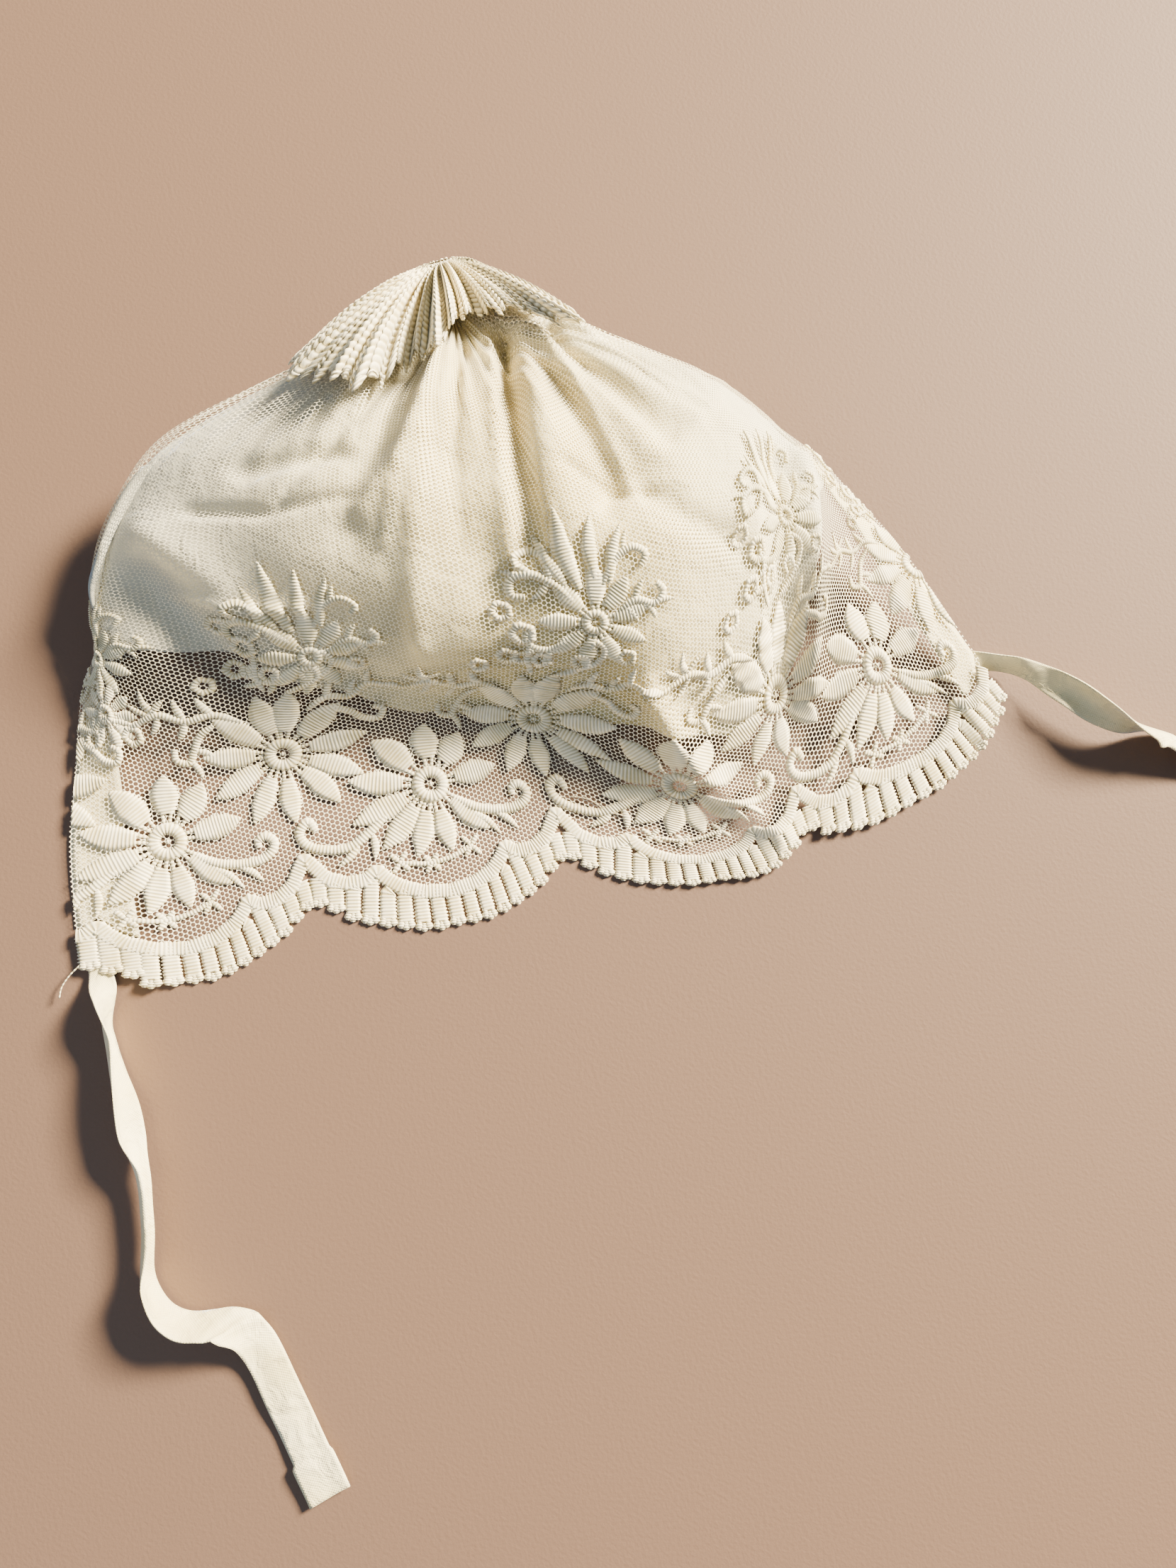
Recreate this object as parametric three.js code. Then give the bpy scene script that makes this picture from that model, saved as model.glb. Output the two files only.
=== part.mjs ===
import * as THREE from "three";

// Baby bonnet of embroidered net, lying flat on its open side. Millimetres, +Z up.
// X runs from the left front corner to the right one, Y from the face edge to the gathers.

// How the bonnet lies. laySpread is how much of its flat length the face edge still spans.
const laySpread = 0.97315;
const layDepth = 156;
const crownHeight = 43;

// The flat panel that it is sewn from
const repeatLength = 78;
const repeatCount = 4;
const seamTrim = 14;
const panelHeight = 235;

// Scalloped face border
const scallopDepth = 16;
const barsPerScallop = 17;
const barGap = 0.8;
const barLong = 10.6;
const barShort = 6;
const barLean = 2.8;
const rootLean = 0.7;
const barTipRound = 0.9;
const borderPeak = 30.5;
const cornerBlock = 11;
const cornerTurn = 3.6;

// Cloth thicknesses and the clearance between sewn layers
const netWall = 1;
const liningWall = 1;
const borderWall = 1.5;
const tapeWall = 1;
const tieWall = 0.9;
const rosetteWall = 1.5;
const clearance = 0.3;
const borderToNet = 0.7;
const liningGap = 0.5;
const liningInset = 24;

// Neck tapes and ties
const tapeWidth = 14;
const tapeReach = 0.8;
const tieWidth = 11;
const tieLift = 0.15;
const hemLength = 11.5;
const hemWall = 1.7;
const tieRowPitch = 4.2;

// Rosette over the gathers. Its middle is a share of half the face span, of the lay
// depth and of the crown height, and it is seated on samples of the cloth below.
const rosetteMiddle = { x: 0.115, y: 1, rise: 0.9 };
const rosetteRows = [0, 0.3, 0.6, 0.85, 1];
const rosetteHole = 1.4;
const rosettePuff = 3.2;
const rosettePicot = 1.6;
const picotPitch = 5;
const sampleStep = 2;
const sampleReach = 2.2;
const samplesFrom = 0.6;

const halfRepeat = repeatLength / 2;
const panelEnd = repeatLength * repeatCount;
const faceSpan = laySpread * (panelEnd - seamTrim);
const halfSpan = faceSpan / 2;
const tapeStack = tapeWall + 1.6 * clearance;
const scallopRadius = (halfRepeat ** 2 + scallopDepth ** 2) / (2 * scallopDepth);

// Lines across the panel, one at the left seam and one at each half repeat.
// x is a share of half the face span, y of the lay depth, rise of the crown height,
// and at is a share of the panel height.
const panelLevels = [
  { at: 0,
    x: [-1.000, -0.779, -0.513, -0.234, 0.014, 0.283, 0.510, 0.800, 1.017],
    y: [-0.051, -0.083, -0.099, -0.119, -0.148, -0.176, -0.218, -0.125, -0.077],
    rise: [0, 0, 0, 0, 0, 0.01, 0.02, 0.02, 0.03] },
  { at: 0.106,
    x: [-0.983, -0.772, -0.506, -0.223, 0.019, 0.283, 0.507, 0.766, 0.966],
    y: [0.103, 0.077, 0.061, 0.042, 0.012, -0.067, -0.077, 0.022, 0.061],
    rise: [0, 0, 0, 0, 0, 0.02, 0.05, 0.07, 0.05] },
  { at: 0.191,
    x: [-0.959, -0.764, -0.499, -0.212, 0.022, 0.279, 0.510, 0.734, 0.917],
    y: [0.231, 0.205, 0.189, 0.170, 0.138, 0.026, 0.042, 0.141, 0.192],
    rise: [0.01, 0.01, 0.01, 0.02, 0.03, 0.09, 0.13, 0.22, 0.12] },
  { at: 0.264,
    x: [-0.924, -0.752, -0.491, -0.207, 0.027, 0.276, 0.519, 0.697, 0.879],
    y: [0.340, 0.314, 0.295, 0.269, 0.215, 0.109, 0.125, 0.244, 0.301],
    rise: [0.01, 0.06, 0.03, 0.08, 0.13, 0.27, 0.24, 0.36, 0.16] },
  { at: 0.426,
    x: [-0.834, -0.759, -0.455, -0.186, 0.083, 0.331, 0.566, 0.697, 0.803],
    y: [0.558, 0.538, 0.462, 0.397, 0.327, 0.282, 0.372, 0.429, 0.462],
    rise: [0.03, 0.27, 0.45, 0.62, 0.63, 0.70, 0.65, 0.47, 0.19] },
  { at: 0.596,
    x: [-0.662, -0.759, -0.441, -0.172, 0.110, 0.345, 0.552, 0.648, 0.697],
    y: [0.679, 0.724, 0.667, 0.596, 0.538, 0.513, 0.583, 0.647, 0.628],
    rise: [0.06, 0.30, 0.79, 0.97, 0.98, 0.93, 0.74, 0.49, 0.21] },
  { at: 0.787,
    x: [-0.428, -0.545, -0.310, -0.097, 0.103, 0.276, 0.434, 0.510, 0.483],
    y: [0.795, 0.923, 0.840, 0.795, 0.763, 0.750, 0.769, 0.782, 0.744],
    rise: [0.12, 0.41, 0.84, 0.98, 0.95, 0.86, 0.72, 0.51, 0.23] },
  { at: 1,
    x: [0.048, 0.045, 0.054, 0.074, 0.101, 0.132, 0.154, 0.172, 0.172],
    y: [1.006, 0.987, 0.963, 0.940, 0.929, 0.933, 0.946, 0.974, 1.006],
    rise: [0.58, 0.70, 0.77, 0.79, 0.79, 0.79, 0.77, 0.72, 0.58] },
];

// Folds and creases. Paths are shares of half the face span and of the lay depth,
// width and rise are shares of the crown height, fade is what the far end loses.
const folds = [
  { path: [[0.18, 0.89], [0.15, 0.71], [0.11, 0.47]], width: 0.08, rise: -0.15, fade: 0.5 },
  { path: [[0.21, 0.90], [0.21, 0.72], [0.20, 0.50]], width: 0.12, rise: 0.08, fade: 0.6 },
  { path: [[0.06, 0.90], [-0.03, 0.73], [-0.15, 0.38]], width: 0.09, rise: 0.07, fade: 0.5 },
  { path: [[0.03, 0.90], [-0.09, 0.76], [-0.21, 0.59]], width: 0.12, rise: -0.07, fade: 0.4 },
  { path: [[0.23, 0.88], [0.32, 0.73], [0.39, 0.58]], width: 0.09, rise: 0.07, fade: 0.3 },
  { path: [[0.21, 0.89], [0.27, 0.72], [0.30, 0.54]], width: 0.09, rise: -0.07, fade: 0.3 },
  { path: [[0.28, 0.87], [0.40, 0.74], [0.50, 0.64]], width: 0.08, rise: 0.06, fade: 0.3 },
  { path: [[0.25, 0.88], [0.36, 0.74], [0.44, 0.62]], width: 0.07, rise: -0.06, fade: 0.4 },
  { path: [[0.31, 0.87], [0.44, 0.79], [0.57, 0.71]], width: 0.08, rise: 0.05, fade: 0.3 },
  { path: [[0.39, 0.56], [0.33, 0.54], [0.28, 0.51]], width: 0.08, rise: -0.06, fade: 0 },
  { path: [[0.36, 0.51], [0.43, 0.45], [0.51, 0.39]], width: 0.09, rise: -0.06, fade: 0 },
  { path: [[-0.39, 0.77], [-0.28, 0.75], [-0.19, 0.73]], width: 0.08, rise: -0.07, fade: 0 },
  { path: [[-0.67, 0.66], [-0.61, 0.56], [-0.54, 0.46]], width: 0.16, rise: -0.14, fade: 0.2 },
  { path: [[-0.62, 0.73], [-0.51, 0.60], [-0.44, 0.49]], width: 0.15, rise: 0.07, fade: 0.2 },
  { path: [[-0.04, 0.72], [-0.11, 0.67], [-0.18, 0.62]], width: 0.09, rise: 0.06, fade: 0 },
  { path: [[0.70, 0.54], [0.66, 0.35], [0.59, 0.11]], width: 0.09, rise: 0.10, fade: 0.2 },
  { path: [[0.64, 0.53], [0.60, 0.35], [0.53, 0.14]], width: 0.12, rise: -0.07, fade: 0.2 },
  { path: [[0.26, 0.18], [0.33, 0.02], [0.45, -0.13]], width: 0.10, rise: 0.15, fade: 0.6 },
  { path: [[-0.33, 0.38], [0, 0.24], [0.26, 0.15]], width: 0.12, rise: -0.05, fade: 0 },
  { path: [[0.01, 0.67], [0.02, 0.54], [0.03, 0.41]], width: 0.21, rise: -0.05, fade: 0 },
];

// Upper line of the border's band, from a scallop's middle (0) to the cusp (1),
// with a small bump half way. rise is a share of the border's peak.
const bandLine = [
  { at: 0, rise: 0.40 }, { at: 0.2, rise: 0.44 }, { at: 0.36, rise: 0.53 },
  { at: 0.46, rise: 0.65 }, { at: 0.51, rise: 0.74 }, { at: 0.59, rise: 0.67 },
  { at: 0.74, rise: 0.68 }, { at: 0.87, rise: 0.77 }, { at: 0.95, rise: 0.92 },
  { at: 1, rise: 1 },
];

// Front edge of the lining: across is a share of the panel's length, up of its height.
const liningEdge = [
  { across: 0.08, up: 0.45 }, { across: 0.17, up: 0.44 }, { across: 0.25, up: 0.42 },
  { across: 0.32, up: 0.36 }, { across: 0.38, up: 0.29 }, { across: 0.50, up: 0.245 },
  { across: 0.61, up: 0.275 }, { across: 0.66, up: 0.25 }, { across: 0.70, up: 0.24 },
  { across: 0.77, up: 0.265 }, { across: 0.82, up: 0.34 }, { across: 0.88, up: 0.43 },
  { across: 0.96, up: 0.47 },
];

// Outer edge of the rosette's ruffle, round from its right end. x and y are shares of
// half the face span and of the lay depth, lift is the height over the cloth beneath it
// and fall the height over the floor where it hangs behind, both shares of the crown height.
const rosetteEdge = [
  { x: 0.340, y: 0.875, lift: 0.02, fall: 0.60 }, { x: 0.275, y: 0.905, lift: 0.03, fall: 0.66 },
  { x: 0.232, y: 0.935, lift: 0.06, fall: 0.76 }, { x: 0.214, y: 0.925, lift: 0.10, fall: 0.80 },
  { x: 0.176, y: 0.912, lift: 0.11, fall: 0.82 }, { x: 0.150, y: 0.930, lift: 0.02, fall: 0.80 },
  { x: 0.112, y: 0.905, lift: 0.10, fall: 0.84 }, { x: 0.052, y: 0.880, lift: 0.08, fall: 0.84 },
  { x: 0.012, y: 0.905, lift: 0.01, fall: 0.80 }, { x: -0.050, y: 0.868, lift: 0.03, fall: 0.80 },
  { x: -0.105, y: 0.850, lift: 0.05, fall: 0.78 }, { x: -0.152, y: 0.862, lift: 0.03, fall: 0.72 },
  { x: -0.200, y: 0.890, lift: 0.02, fall: 0.64 }, { x: -0.232, y: 0.945, lift: 0.04, fall: 0.58 },
  { x: -0.210, y: 0.995, lift: 0.05, fall: 0.56 }, { x: -0.140, y: 1.030, lift: 0.03, fall: 0.58 },
  { x: -0.080, y: 1.060, lift: 0.03, fall: 0.48 }, { x: -0.040, y: 1.098, lift: 0.03, fall: 0.46 },
  { x: 0.015, y: 1.090, lift: 0.03, fall: 0.56 }, { x: 0.070, y: 1.120, lift: 0.03, fall: 0.58 },
  { x: 0.140, y: 1.105, lift: 0.03, fall: 0.62 }, { x: 0.205, y: 1.050, lift: 0.03, fall: 0.66 },
  { x: 0.262, y: 0.980, lift: 0.02, fall: 0.60 }, { x: 0.320, y: 0.915, lift: 0.01, fall: 0.56 },
];

// Routes of the ties, kept as chosen points in millimetres. across is the way the tape's
// width lies and roll how far it is turned on edge, both in degrees, lift is off the floor.
const leftRoute = [
  { x: -138, y: 8, across: -10, roll: 0, lift: 0 },
  { x: -138.8, y: -4.5, across: -12, roll: -6, lift: 0 },
  { x: -139.6, y: -11, across: -8, roll: -50, lift: 0 },
  { x: -140.6, y: -19.5, across: -8, roll: -100, lift: 0 },
  { x: -140.6, y: -32, across: -4, roll: -86, lift: 0 },
  { x: -140.4, y: -47, across: -10, roll: -56, lift: 0 },
  { x: -140.8, y: -62, across: -6, roll: -80, lift: 0 },
  { x: -142.2, y: -74, across: -4, roll: -88, lift: 0 },
  { x: -145.2, y: -85.5, across: -3, roll: -85, lift: 0 },
  { x: -145.4, y: -93, across: 22, roll: -78, lift: 0 },
  { x: -143, y: -100.3, across: 44, roll: -68, lift: 0 },
  { x: -138, y: -104.8, across: 62, roll: -60, lift: 0 },
  { x: -130.5, y: -107, across: 64, roll: -48, lift: 0 },
  { x: -122, y: -110.3, across: 44, roll: -26, lift: 0 },
  { x: -118, y: -122, across: 24, roll: -6, lift: 0 },
  { x: -115.4, y: -135.5, across: 15, roll: -2, lift: 0 },
  { x: -112.6, y: -148.5, across: 12, roll: 0, lift: 0 },
  { x: -110.2, y: -160.5, across: 12, roll: 0, lift: 0 },
];
const rightRoute = [
  { x: 137.2, y: 14.6, across: -76, roll: 0, lift: 0.034 },
  { x: 144.4, y: 11, across: -68, roll: -24, lift: 0.01 },
  { x: 149.8, y: 7, across: -84, roll: -30, lift: 0.06 },
  { x: 155.7, y: 1.1, across: -105, roll: -16, lift: 0.10 },
  { x: 161.4, y: -4.7, across: -118, roll: -24, lift: 0.09 },
  { x: 167.9, y: -11.8, across: -126, roll: -52, lift: 0.06 },
  { x: 174.1, y: -17.2, across: -124, roll: -82, lift: 0.04 },
  { x: 180.6, y: -21.4, across: -119, roll: -116, lift: 0.03 },
  { x: 187, y: -26.1, across: -114, roll: -138, lift: 0.02 },
  { x: 196.5, y: -35, across: -128, roll: -162, lift: 0 },
  { x: 206, y: -46.5, across: -144, roll: -176, lift: 0 },
  { x: 214, y: -60, across: -154, roll: -180, lift: 0 },
  { x: 219.5, y: -75, across: -162, roll: -180, lift: 0 },
  { x: 223, y: -91, across: -168, roll: -180, lift: 0 },
  { x: 225.5, y: -107, across: -172, roll: -180, lift: 0 },
  { x: 226.5, y: -122, across: -176, roll: -180, lift: 0 },
  { x: 226.5, y: -136, across: -180, roll: -180, lift: 0 },
];

const ribStations = [seamTrim];
for (let k = 1; k <= 2 * repeatCount; k += 1) {
  ribStations.push(k * halfRepeat);
}
const levelStations = panelLevels.map((level) => level.at * panelHeight);

// Share of each station's value in a smooth curve through them, at one place
function splineShares(stations, place) {
  const last = stations.length - 1;
  let i = 0;
  while (i < last - 1 && place >= stations[i + 1]) {
    i += 1;
  }
  const step = stations[i + 1] - stations[i];
  const t = (place - stations[i]) / step;
  const s = Math.min(Math.max(t, 0), 1);
  const shares = new Array(last + 1).fill(0);
  shares[i] += 2 * s ** 3 - 3 * s ** 2 + 1 - (t - s);
  shares[i + 1] += 3 * s ** 2 - 2 * s ** 3 + (t - s);
  const pulls = [[i, s ** 3 - 2 * s ** 2 + s], [i + 1, s ** 3 - s ** 2]];
  for (const [at, pull] of pulls) {
    const low = Math.max(at - 1, 0);
    const high = Math.min(at + 1, last);
    const slope = (pull * step) / (stations[high] - stations[low]);
    shares[high] += slope;
    shares[low] -= slope;
  }
  return shares;
}

function smoothStep(value) {
  const t = Math.min(Math.max(value, 0), 1);
  return t * t * (3 - 2 * t);
}

// How much of the tapes' thickness lifts the cloth, full over a tape and none past it
function tapeCover(u) {
  const side = Math.min(u - seamTrim, panelEnd - u);
  return 1 - smoothStep((side - tapeWidth - 1) / (tapeWidth / 2));
}

function panelPoint(u, v) {
  const along = splineShares(ribStations, u);
  const up = splineShares(levelStations, v);
  let x = 0;
  let y = 0;
  let rise = 0;
  panelLevels.forEach((level, j) => {
    along.forEach((share, i) => {
      x += share * up[j] * level.x[i];
      y += share * up[j] * level.y[i];
      rise += share * up[j] * level.rise[i];
    });
  });
  const z = Math.max(rise, 0) * crownHeight + tapeCover(u) * tapeStack + netWall / 2;
  return new THREE.Vector3(x * halfSpan, y * layDepth, z);
}

function foldHeight(x, y) {
  let height = 0;
  for (const fold of folds) {
    const points = fold.path.map(([px, py]) => new THREE.Vector2(px * halfSpan, py * layDepth));
    let nearest = Infinity;
    let reached = 0;
    for (let i = 0; i < points.length - 1; i += 1) {
      const run = points[i + 1].clone().sub(points[i]);
      const offset = new THREE.Vector2(x, y).sub(points[i]);
      const t = Math.min(Math.max(offset.dot(run) / run.lengthSq(), 0), 1);
      const distance = offset.addScaledVector(run, -t).length();
      if (distance < nearest) {
        nearest = distance;
        reached = (i + t) / (points.length - 1);
      }
    }
    const shape = Math.exp(-((nearest / (fold.width * crownHeight)) ** 1.7));
    height += fold.rise * crownHeight * shape * (1 - fold.fade * reached);
  }
  return height;
}

// A place on the cloth, lifted off its middle by offset. u runs along the face edge and
// v up the panel, both in millimetres of flat cloth.
function clothPoint(u, v, offset) {
  const probe = 1.5;
  const place = panelPoint(u, v);
  const across = panelPoint(u + probe, v).sub(panelPoint(u - probe, v));
  const up = panelPoint(u, v + probe).sub(panelPoint(u, v - probe));
  const normal = across.cross(up).normalize();
  const upward = smoothStep((normal.z - 0.1) / 0.5);
  place.addScaledVector(normal, upward * foldHeight(place.x, place.y));
  place.z = Math.max(place.z, tapeCover(u) * tapeStack + netWall / 2);
  return place.addScaledVector(normal, offset);
}

// A closed plate from points that each have a top and a bottom, and cells of four corners.
// A corner that repeats the one before it, or that isn't there, makes the cell smaller.
function plate(points, cells) {
  const positions = [];
  for (const point of points) {
    positions.push(...point.top.toArray(), ...point.bottom.toArray());
  }
  const faces = [];
  const walls = new Map();
  for (const cell of cells) {
    const loop = cell.filter((corner, i) => corner >= 0 && corner !== cell[(i + 1) % 4]);
    for (let i = 1; i < loop.length - 1; i += 1) {
      const [a, b, c] = [loop[0], loop[i], loop[i + 1]];
      faces.push(2 * a, 2 * b, 2 * c, 2 * a + 1, 2 * c + 1, 2 * b + 1);
    }
    loop.forEach((from, i) => {
      const to = loop[(i + 1) % loop.length];
      if (loop.length > 2 && !walls.delete(`${to}-${from}`)) {
        walls.set(`${from}-${to}`, [from, to]);
      }
    });
  }
  for (const [from, to] of walls.values()) {
    faces.push(2 * from, 2 * from + 1, 2 * to + 1, 2 * from, 2 * to + 1, 2 * to);
  }
  const geometry = new THREE.BufferGeometry();
  geometry.setAttribute("position", new THREE.Float32BufferAttribute(positions, 3));
  geometry.setIndex(faces);
  geometry.computeVertexNormals();
  return geometry;
}

// A plate from rows of points, all of one length
function gridPlate(rows) {
  const width = rows[0].length;
  const cells = [];
  for (let j = 0; j < rows.length - 1; j += 1) {
    for (let i = 0; i < width - 1; i += 1) {
      const corner = j * width + i;
      cells.push([corner, corner + 1, corner + width + 1, corner + width]);
    }
  }
  return plate(rows.flat(), cells);
}

function clothPair(u, v, topOffset, bottomOffset) {
  return { top: clothPoint(u, v, topOffset), bottom: clothPoint(u, v, bottomOffset) };
}

function lineAt(line, key, value, place) {
  const next = line.findIndex((row) => row[key] >= place);
  if (next <= 0) {
    return next === 0 ? line[0][value] : line[line.length - 1][value];
  }
  const [low, high] = [line[next - 1], line[next]];
  return low[value] + ((high[value] - low[value]) * (place - low[key])) / (high[key] - low[key]);
}

// Height of the band's upper line at a place along the panel
function bandTop(u) {
  const scallop = Math.min(Math.max(Math.floor(u / repeatLength), 0), repeatCount - 1);
  const place = Math.abs(u - (scallop + 0.5) * repeatLength) / halfRepeat;
  return lineAt(bandLine, "at", "rise", place) * borderPeak;
}

// One line across the border: at the bar's end, at its root and on the band's upper line.
// place runs from -1 to 1 over a scallop.
function borderLine(scallop, place) {
  const middle = (scallop + 0.5) * repeatLength;
  const angle = place * Math.asin(halfRepeat / scallopRadius);
  const out = scallopRadius * Math.sin(angle);
  const low = scallopRadius * (1 - Math.cos(angle));
  const barLength = barLong + (barShort - barLong) * place ** 2;
  const lean = Math.sign(place) * barLean * Math.sin(Math.PI * Math.abs(place) ** 1.3);
  return {
    end: [middle + out, low],
    root: [middle + out - rootLean * lean, low + barLength],
    top: [middle + out - lean, bandTop(middle + out - lean)],
  };
}

// Places along the face edge where every layer of cloth has a line of points, so that
// the layers' facets stay parallel: over each scallop, and at the tapes' inner edges
function sharedStations() {
  const places = [0, 0.18, 0.36, 0.51, 0.72];
  const stations = [seamTrim, seamTrim + tapeWidth, panelEnd - tapeWidth, panelEnd];
  const crowded = (u) => stations.some((other) => Math.abs(other - u) < 2);
  for (let scallop = 0; scallop < repeatCount; scallop += 1) {
    for (const place of places) {
      for (const side of place > 0 ? [-1, 1] : [1]) {
        const u = (scallop + 0.5) * repeatLength + side * place * halfRepeat;
        if (u > seamTrim && !crowded(u)) {
          stations.push(u);
        }
      }
    }
    const cusp = (scallop + 1) * repeatLength;
    if (cusp < panelEnd) {
      stations.push(cusp);
    }
  }
  return stations.sort((first, second) => first - second);
}

// Shares of the way up from the border to the gathers where the layers have a row
const sharedRises = [0, 0.035, 0.08, 0.125, 0.17, 0.215, 0.265, 0.315, 0.365, 0.415, 0.465,
  0.515, 0.565, 0.62, 0.675, 0.73, 0.785, 0.84, 0.89, 0.935, 0.97, 1];

function rowHeight(u, share) {
  const start = bandTop(u) + borderToNet;
  return start + share * (panelHeight - start);
}

function netShell() {
  const stations = sharedStations();
  return gridPlate(sharedRises.map((share) => stations.map((u) => (
    clothPair(u, rowHeight(u, share), netWall / 2, -netWall / 2)
  ))));
}

function mixPair(low, high, share) {
  return {
    top: low.top.clone().lerp(high.top, share),
    bottom: low.bottom.clone().lerp(high.bottom, share),
  };
}

// The lining follows the net's rows from its own front edge up to just short of the gathers
function lining() {
  const stations = sharedStations().filter((u) => (
    u >= seamTrim + liningInset && u <= panelEnd - liningInset
  ));
  const rises = sharedRises.filter((share) => share < 0.98);
  const outer = -netWall / 2 - liningGap;
  const points = [];
  const columns = stations.map((u) => {
    const start = lineAt(liningEdge, "across", "up", u / panelEnd) * panelHeight;
    const rows = rises.map((share) => clothPair(u, rowHeight(u, share), outer, outer - liningWall));
    let last = -1;
    return rises.map((share, j) => {
      const [v, next] = [rowHeight(u, share), rowHeight(u, rises[j + 1] ?? 1)];
      if (v > start) {
        last = points.push(rows[j]) - 1;
      } else if (next > start) {
        last = points.push(mixPair(rows[j], rows[j + 1], (start - v) / (next - v))) - 1;
      }
      return last;
    });
  });
  const cells = [];
  for (let i = 0; i < columns.length - 1; i += 1) {
    const [left, right] = [columns[i], columns[i + 1]];
    for (let j = 0; j < rises.length - 1; j += 1) {
      cells.push([left[j], right[j], right[j + 1], left[j + 1]]);
    }
  }
  return plate(points, cells);
}

function scallopBorder() {
  const points = [];
  const cells = [];
  const rise = borderWall - netWall / 2;
  const addPoint = ([u, v]) => points.push(clothPair(u, v, rise, -netWall / 2)) - 1;
  let last = null;
  const joinBand = (root, top) => {
    if (last) {
      cells.push([last.root, root, top, last.top]);
    }
    last = { root, top };
  };
  const blockEnd = seamTrim + cornerBlock;
  const blockEdge = borderLine(0, (blockEnd - halfRepeat) / halfRepeat);
  const block = [seamTrim, (seamTrim + blockEnd) / 2, blockEnd].map((u) => ({
    end: addPoint([u, blockEdge.end[1] + cornerTurn * (1 + (blockEnd - u) / cornerBlock)]),
    root: addPoint([u, blockEdge.root[1]]),
    top: addPoint([u, bandTop(u)]),
  }));
  block.forEach((line, i) => {
    if (i > 0) {
      cells.push([block[i - 1].end, line.end, line.root, block[i - 1].root]);
    }
    joinBand(line.root, line.top);
  });
  for (let scallop = 0; scallop < repeatCount; scallop += 1) {
    const barPitch = 2 / barsPerScallop;
    const gapShare = barGap / (2 * halfRepeat);
    for (let bar = 0; bar < barsPerScallop; bar += 1) {
      const left = -1 + bar * barPitch + gapShare;
      const right = left + barPitch - 2 * gapShare;
      if (borderLine(scallop, left).root[0] < blockEnd + barGap) {
        continue;
      }
      const lines = [left, (left + right) / 2, right].map((place) => borderLine(scallop, place));
      const ends = lines.map((line, i) => {
        const pull = i === 1 ? 0 : barTipRound;
        const [u, v] = line.end;
        return addPoint([u + (line.root[0] - u) * (pull / barLong), v + pull]);
      });
      const roots = lines.map((line) => addPoint(line.root));
      const tops = lines.map((line) => addPoint(line.top));
      for (let i = 0; i < 3; i += 1) {
        joinBand(roots[i], tops[i]);
        if (i > 0) {
          cells.push([ends[i - 1], ends[i], roots[i], roots[i - 1]]);
        }
      }
    }
    if (scallop < repeatCount - 1) {
      const cusp = borderLine(scallop, 1);
      joinBand(addPoint(cusp.root), addPoint([cusp.end[0], borderPeak]));
    }
  }
  return plate(points, cells);
}

// The tape bound along a neck edge, from the border up to where the cloth tucks under
function neckTape(edges) {
  const stations = sharedStations().filter((u) => u >= edges[0] && u <= edges[1]);
  const outer = -netWall / 2 - clearance;
  return gridPlate(sharedRises.filter((share) => share <= tapeReach).map((share) => (
    stations.map((u) => clothPair(u, rowHeight(u, share), outer, outer - tapeWall))
  )));
}

// Tops of the cloth near the gathers, which the rosette is draped over
function crownSamples() {
  const samples = [];
  for (let v = samplesFrom * panelHeight; v <= panelHeight; v += sampleStep) {
    for (let u = seamTrim; u <= panelEnd; u += sampleStep) {
      samples.push(clothPoint(u, v, netWall / 2));
    }
  }
  return samples;
}

function rosette() {
  const samples = crownSamples();
  const clothTop = (x, y) => {
    let top = 0;
    for (const sample of samples) {
      if (Math.hypot(sample.x - x, sample.y - y) < sampleReach) {
        top = Math.max(top, sample.z);
      }
    }
    return top;
  };
  const middle = new THREE.Vector3(rosetteMiddle.x * halfSpan, rosetteMiddle.y * layDepth, 0);
  const edge = rosetteEdge.map((row) => {
    const [x, y] = [row.x * halfSpan, row.y * layDepth];
    const seat = clothTop(x, y) + clearance + rosetteWall / 2 + row.lift * crownHeight;
    return new THREE.Vector3(x, y, Math.max(seat, row.fall * crownHeight));
  });
  const outline = new THREE.CatmullRomCurve3(edge, true, "centripetal");
  const picots = Math.round(outline.getLength() / picotPitch);
  const apex = clothTop(middle.x, middle.y) + clearance + rosetteWall / 2;
  const peak = Math.max(apex, rosetteMiddle.rise * crownHeight);
  const rows = rosetteRows.map((share) => {
    const row = [];
    for (let i = 0; i <= 2 * picots; i += 1) {
      const out = outline.getPointAt((i % (2 * picots)) / (2 * picots));
      const way = new THREE.Vector3(out.x - middle.x, out.y - middle.y, 0);
      const inner = middle.clone().addScaledVector(way, rosetteHole / way.length());
      inner.z = peak;
      const scallop = share === 1 && i % 2 === 1 ? rosettePicot / way.length() : 0;
      const place = inner.lerp(out, share - scallop);
      place.z += rosettePuff * 4 * share * (1 - share);
      const seat = clothTop(place.x, place.y) + clearance + rosetteWall / 2;
      place.z = Math.max(place.z, seat);
      row.push({
        top: place.clone().setZ(place.z + rosetteWall / 2),
        bottom: place.clone().setZ(place.z - rosetteWall / 2),
      });
    }
    return row;
  });
  return ringPlate(rows.reverse());
}

// A plate from rows that close on themselves: the last point of each row is its first
function ringPlate(rows) {
  const width = rows[0].length - 1;
  const cells = [];
  for (let j = 0; j < rows.length - 1; j += 1) {
    for (let i = 0; i < width; i += 1) {
      const next = (i + 1) % width;
      cells.push([j * width + i, (j + 1) * width + i, (j + 1) * width + next, j * width + next]);
    }
  }
  return plate(rows.map((row) => row.slice(0, width)).flat(), cells);
}

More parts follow.
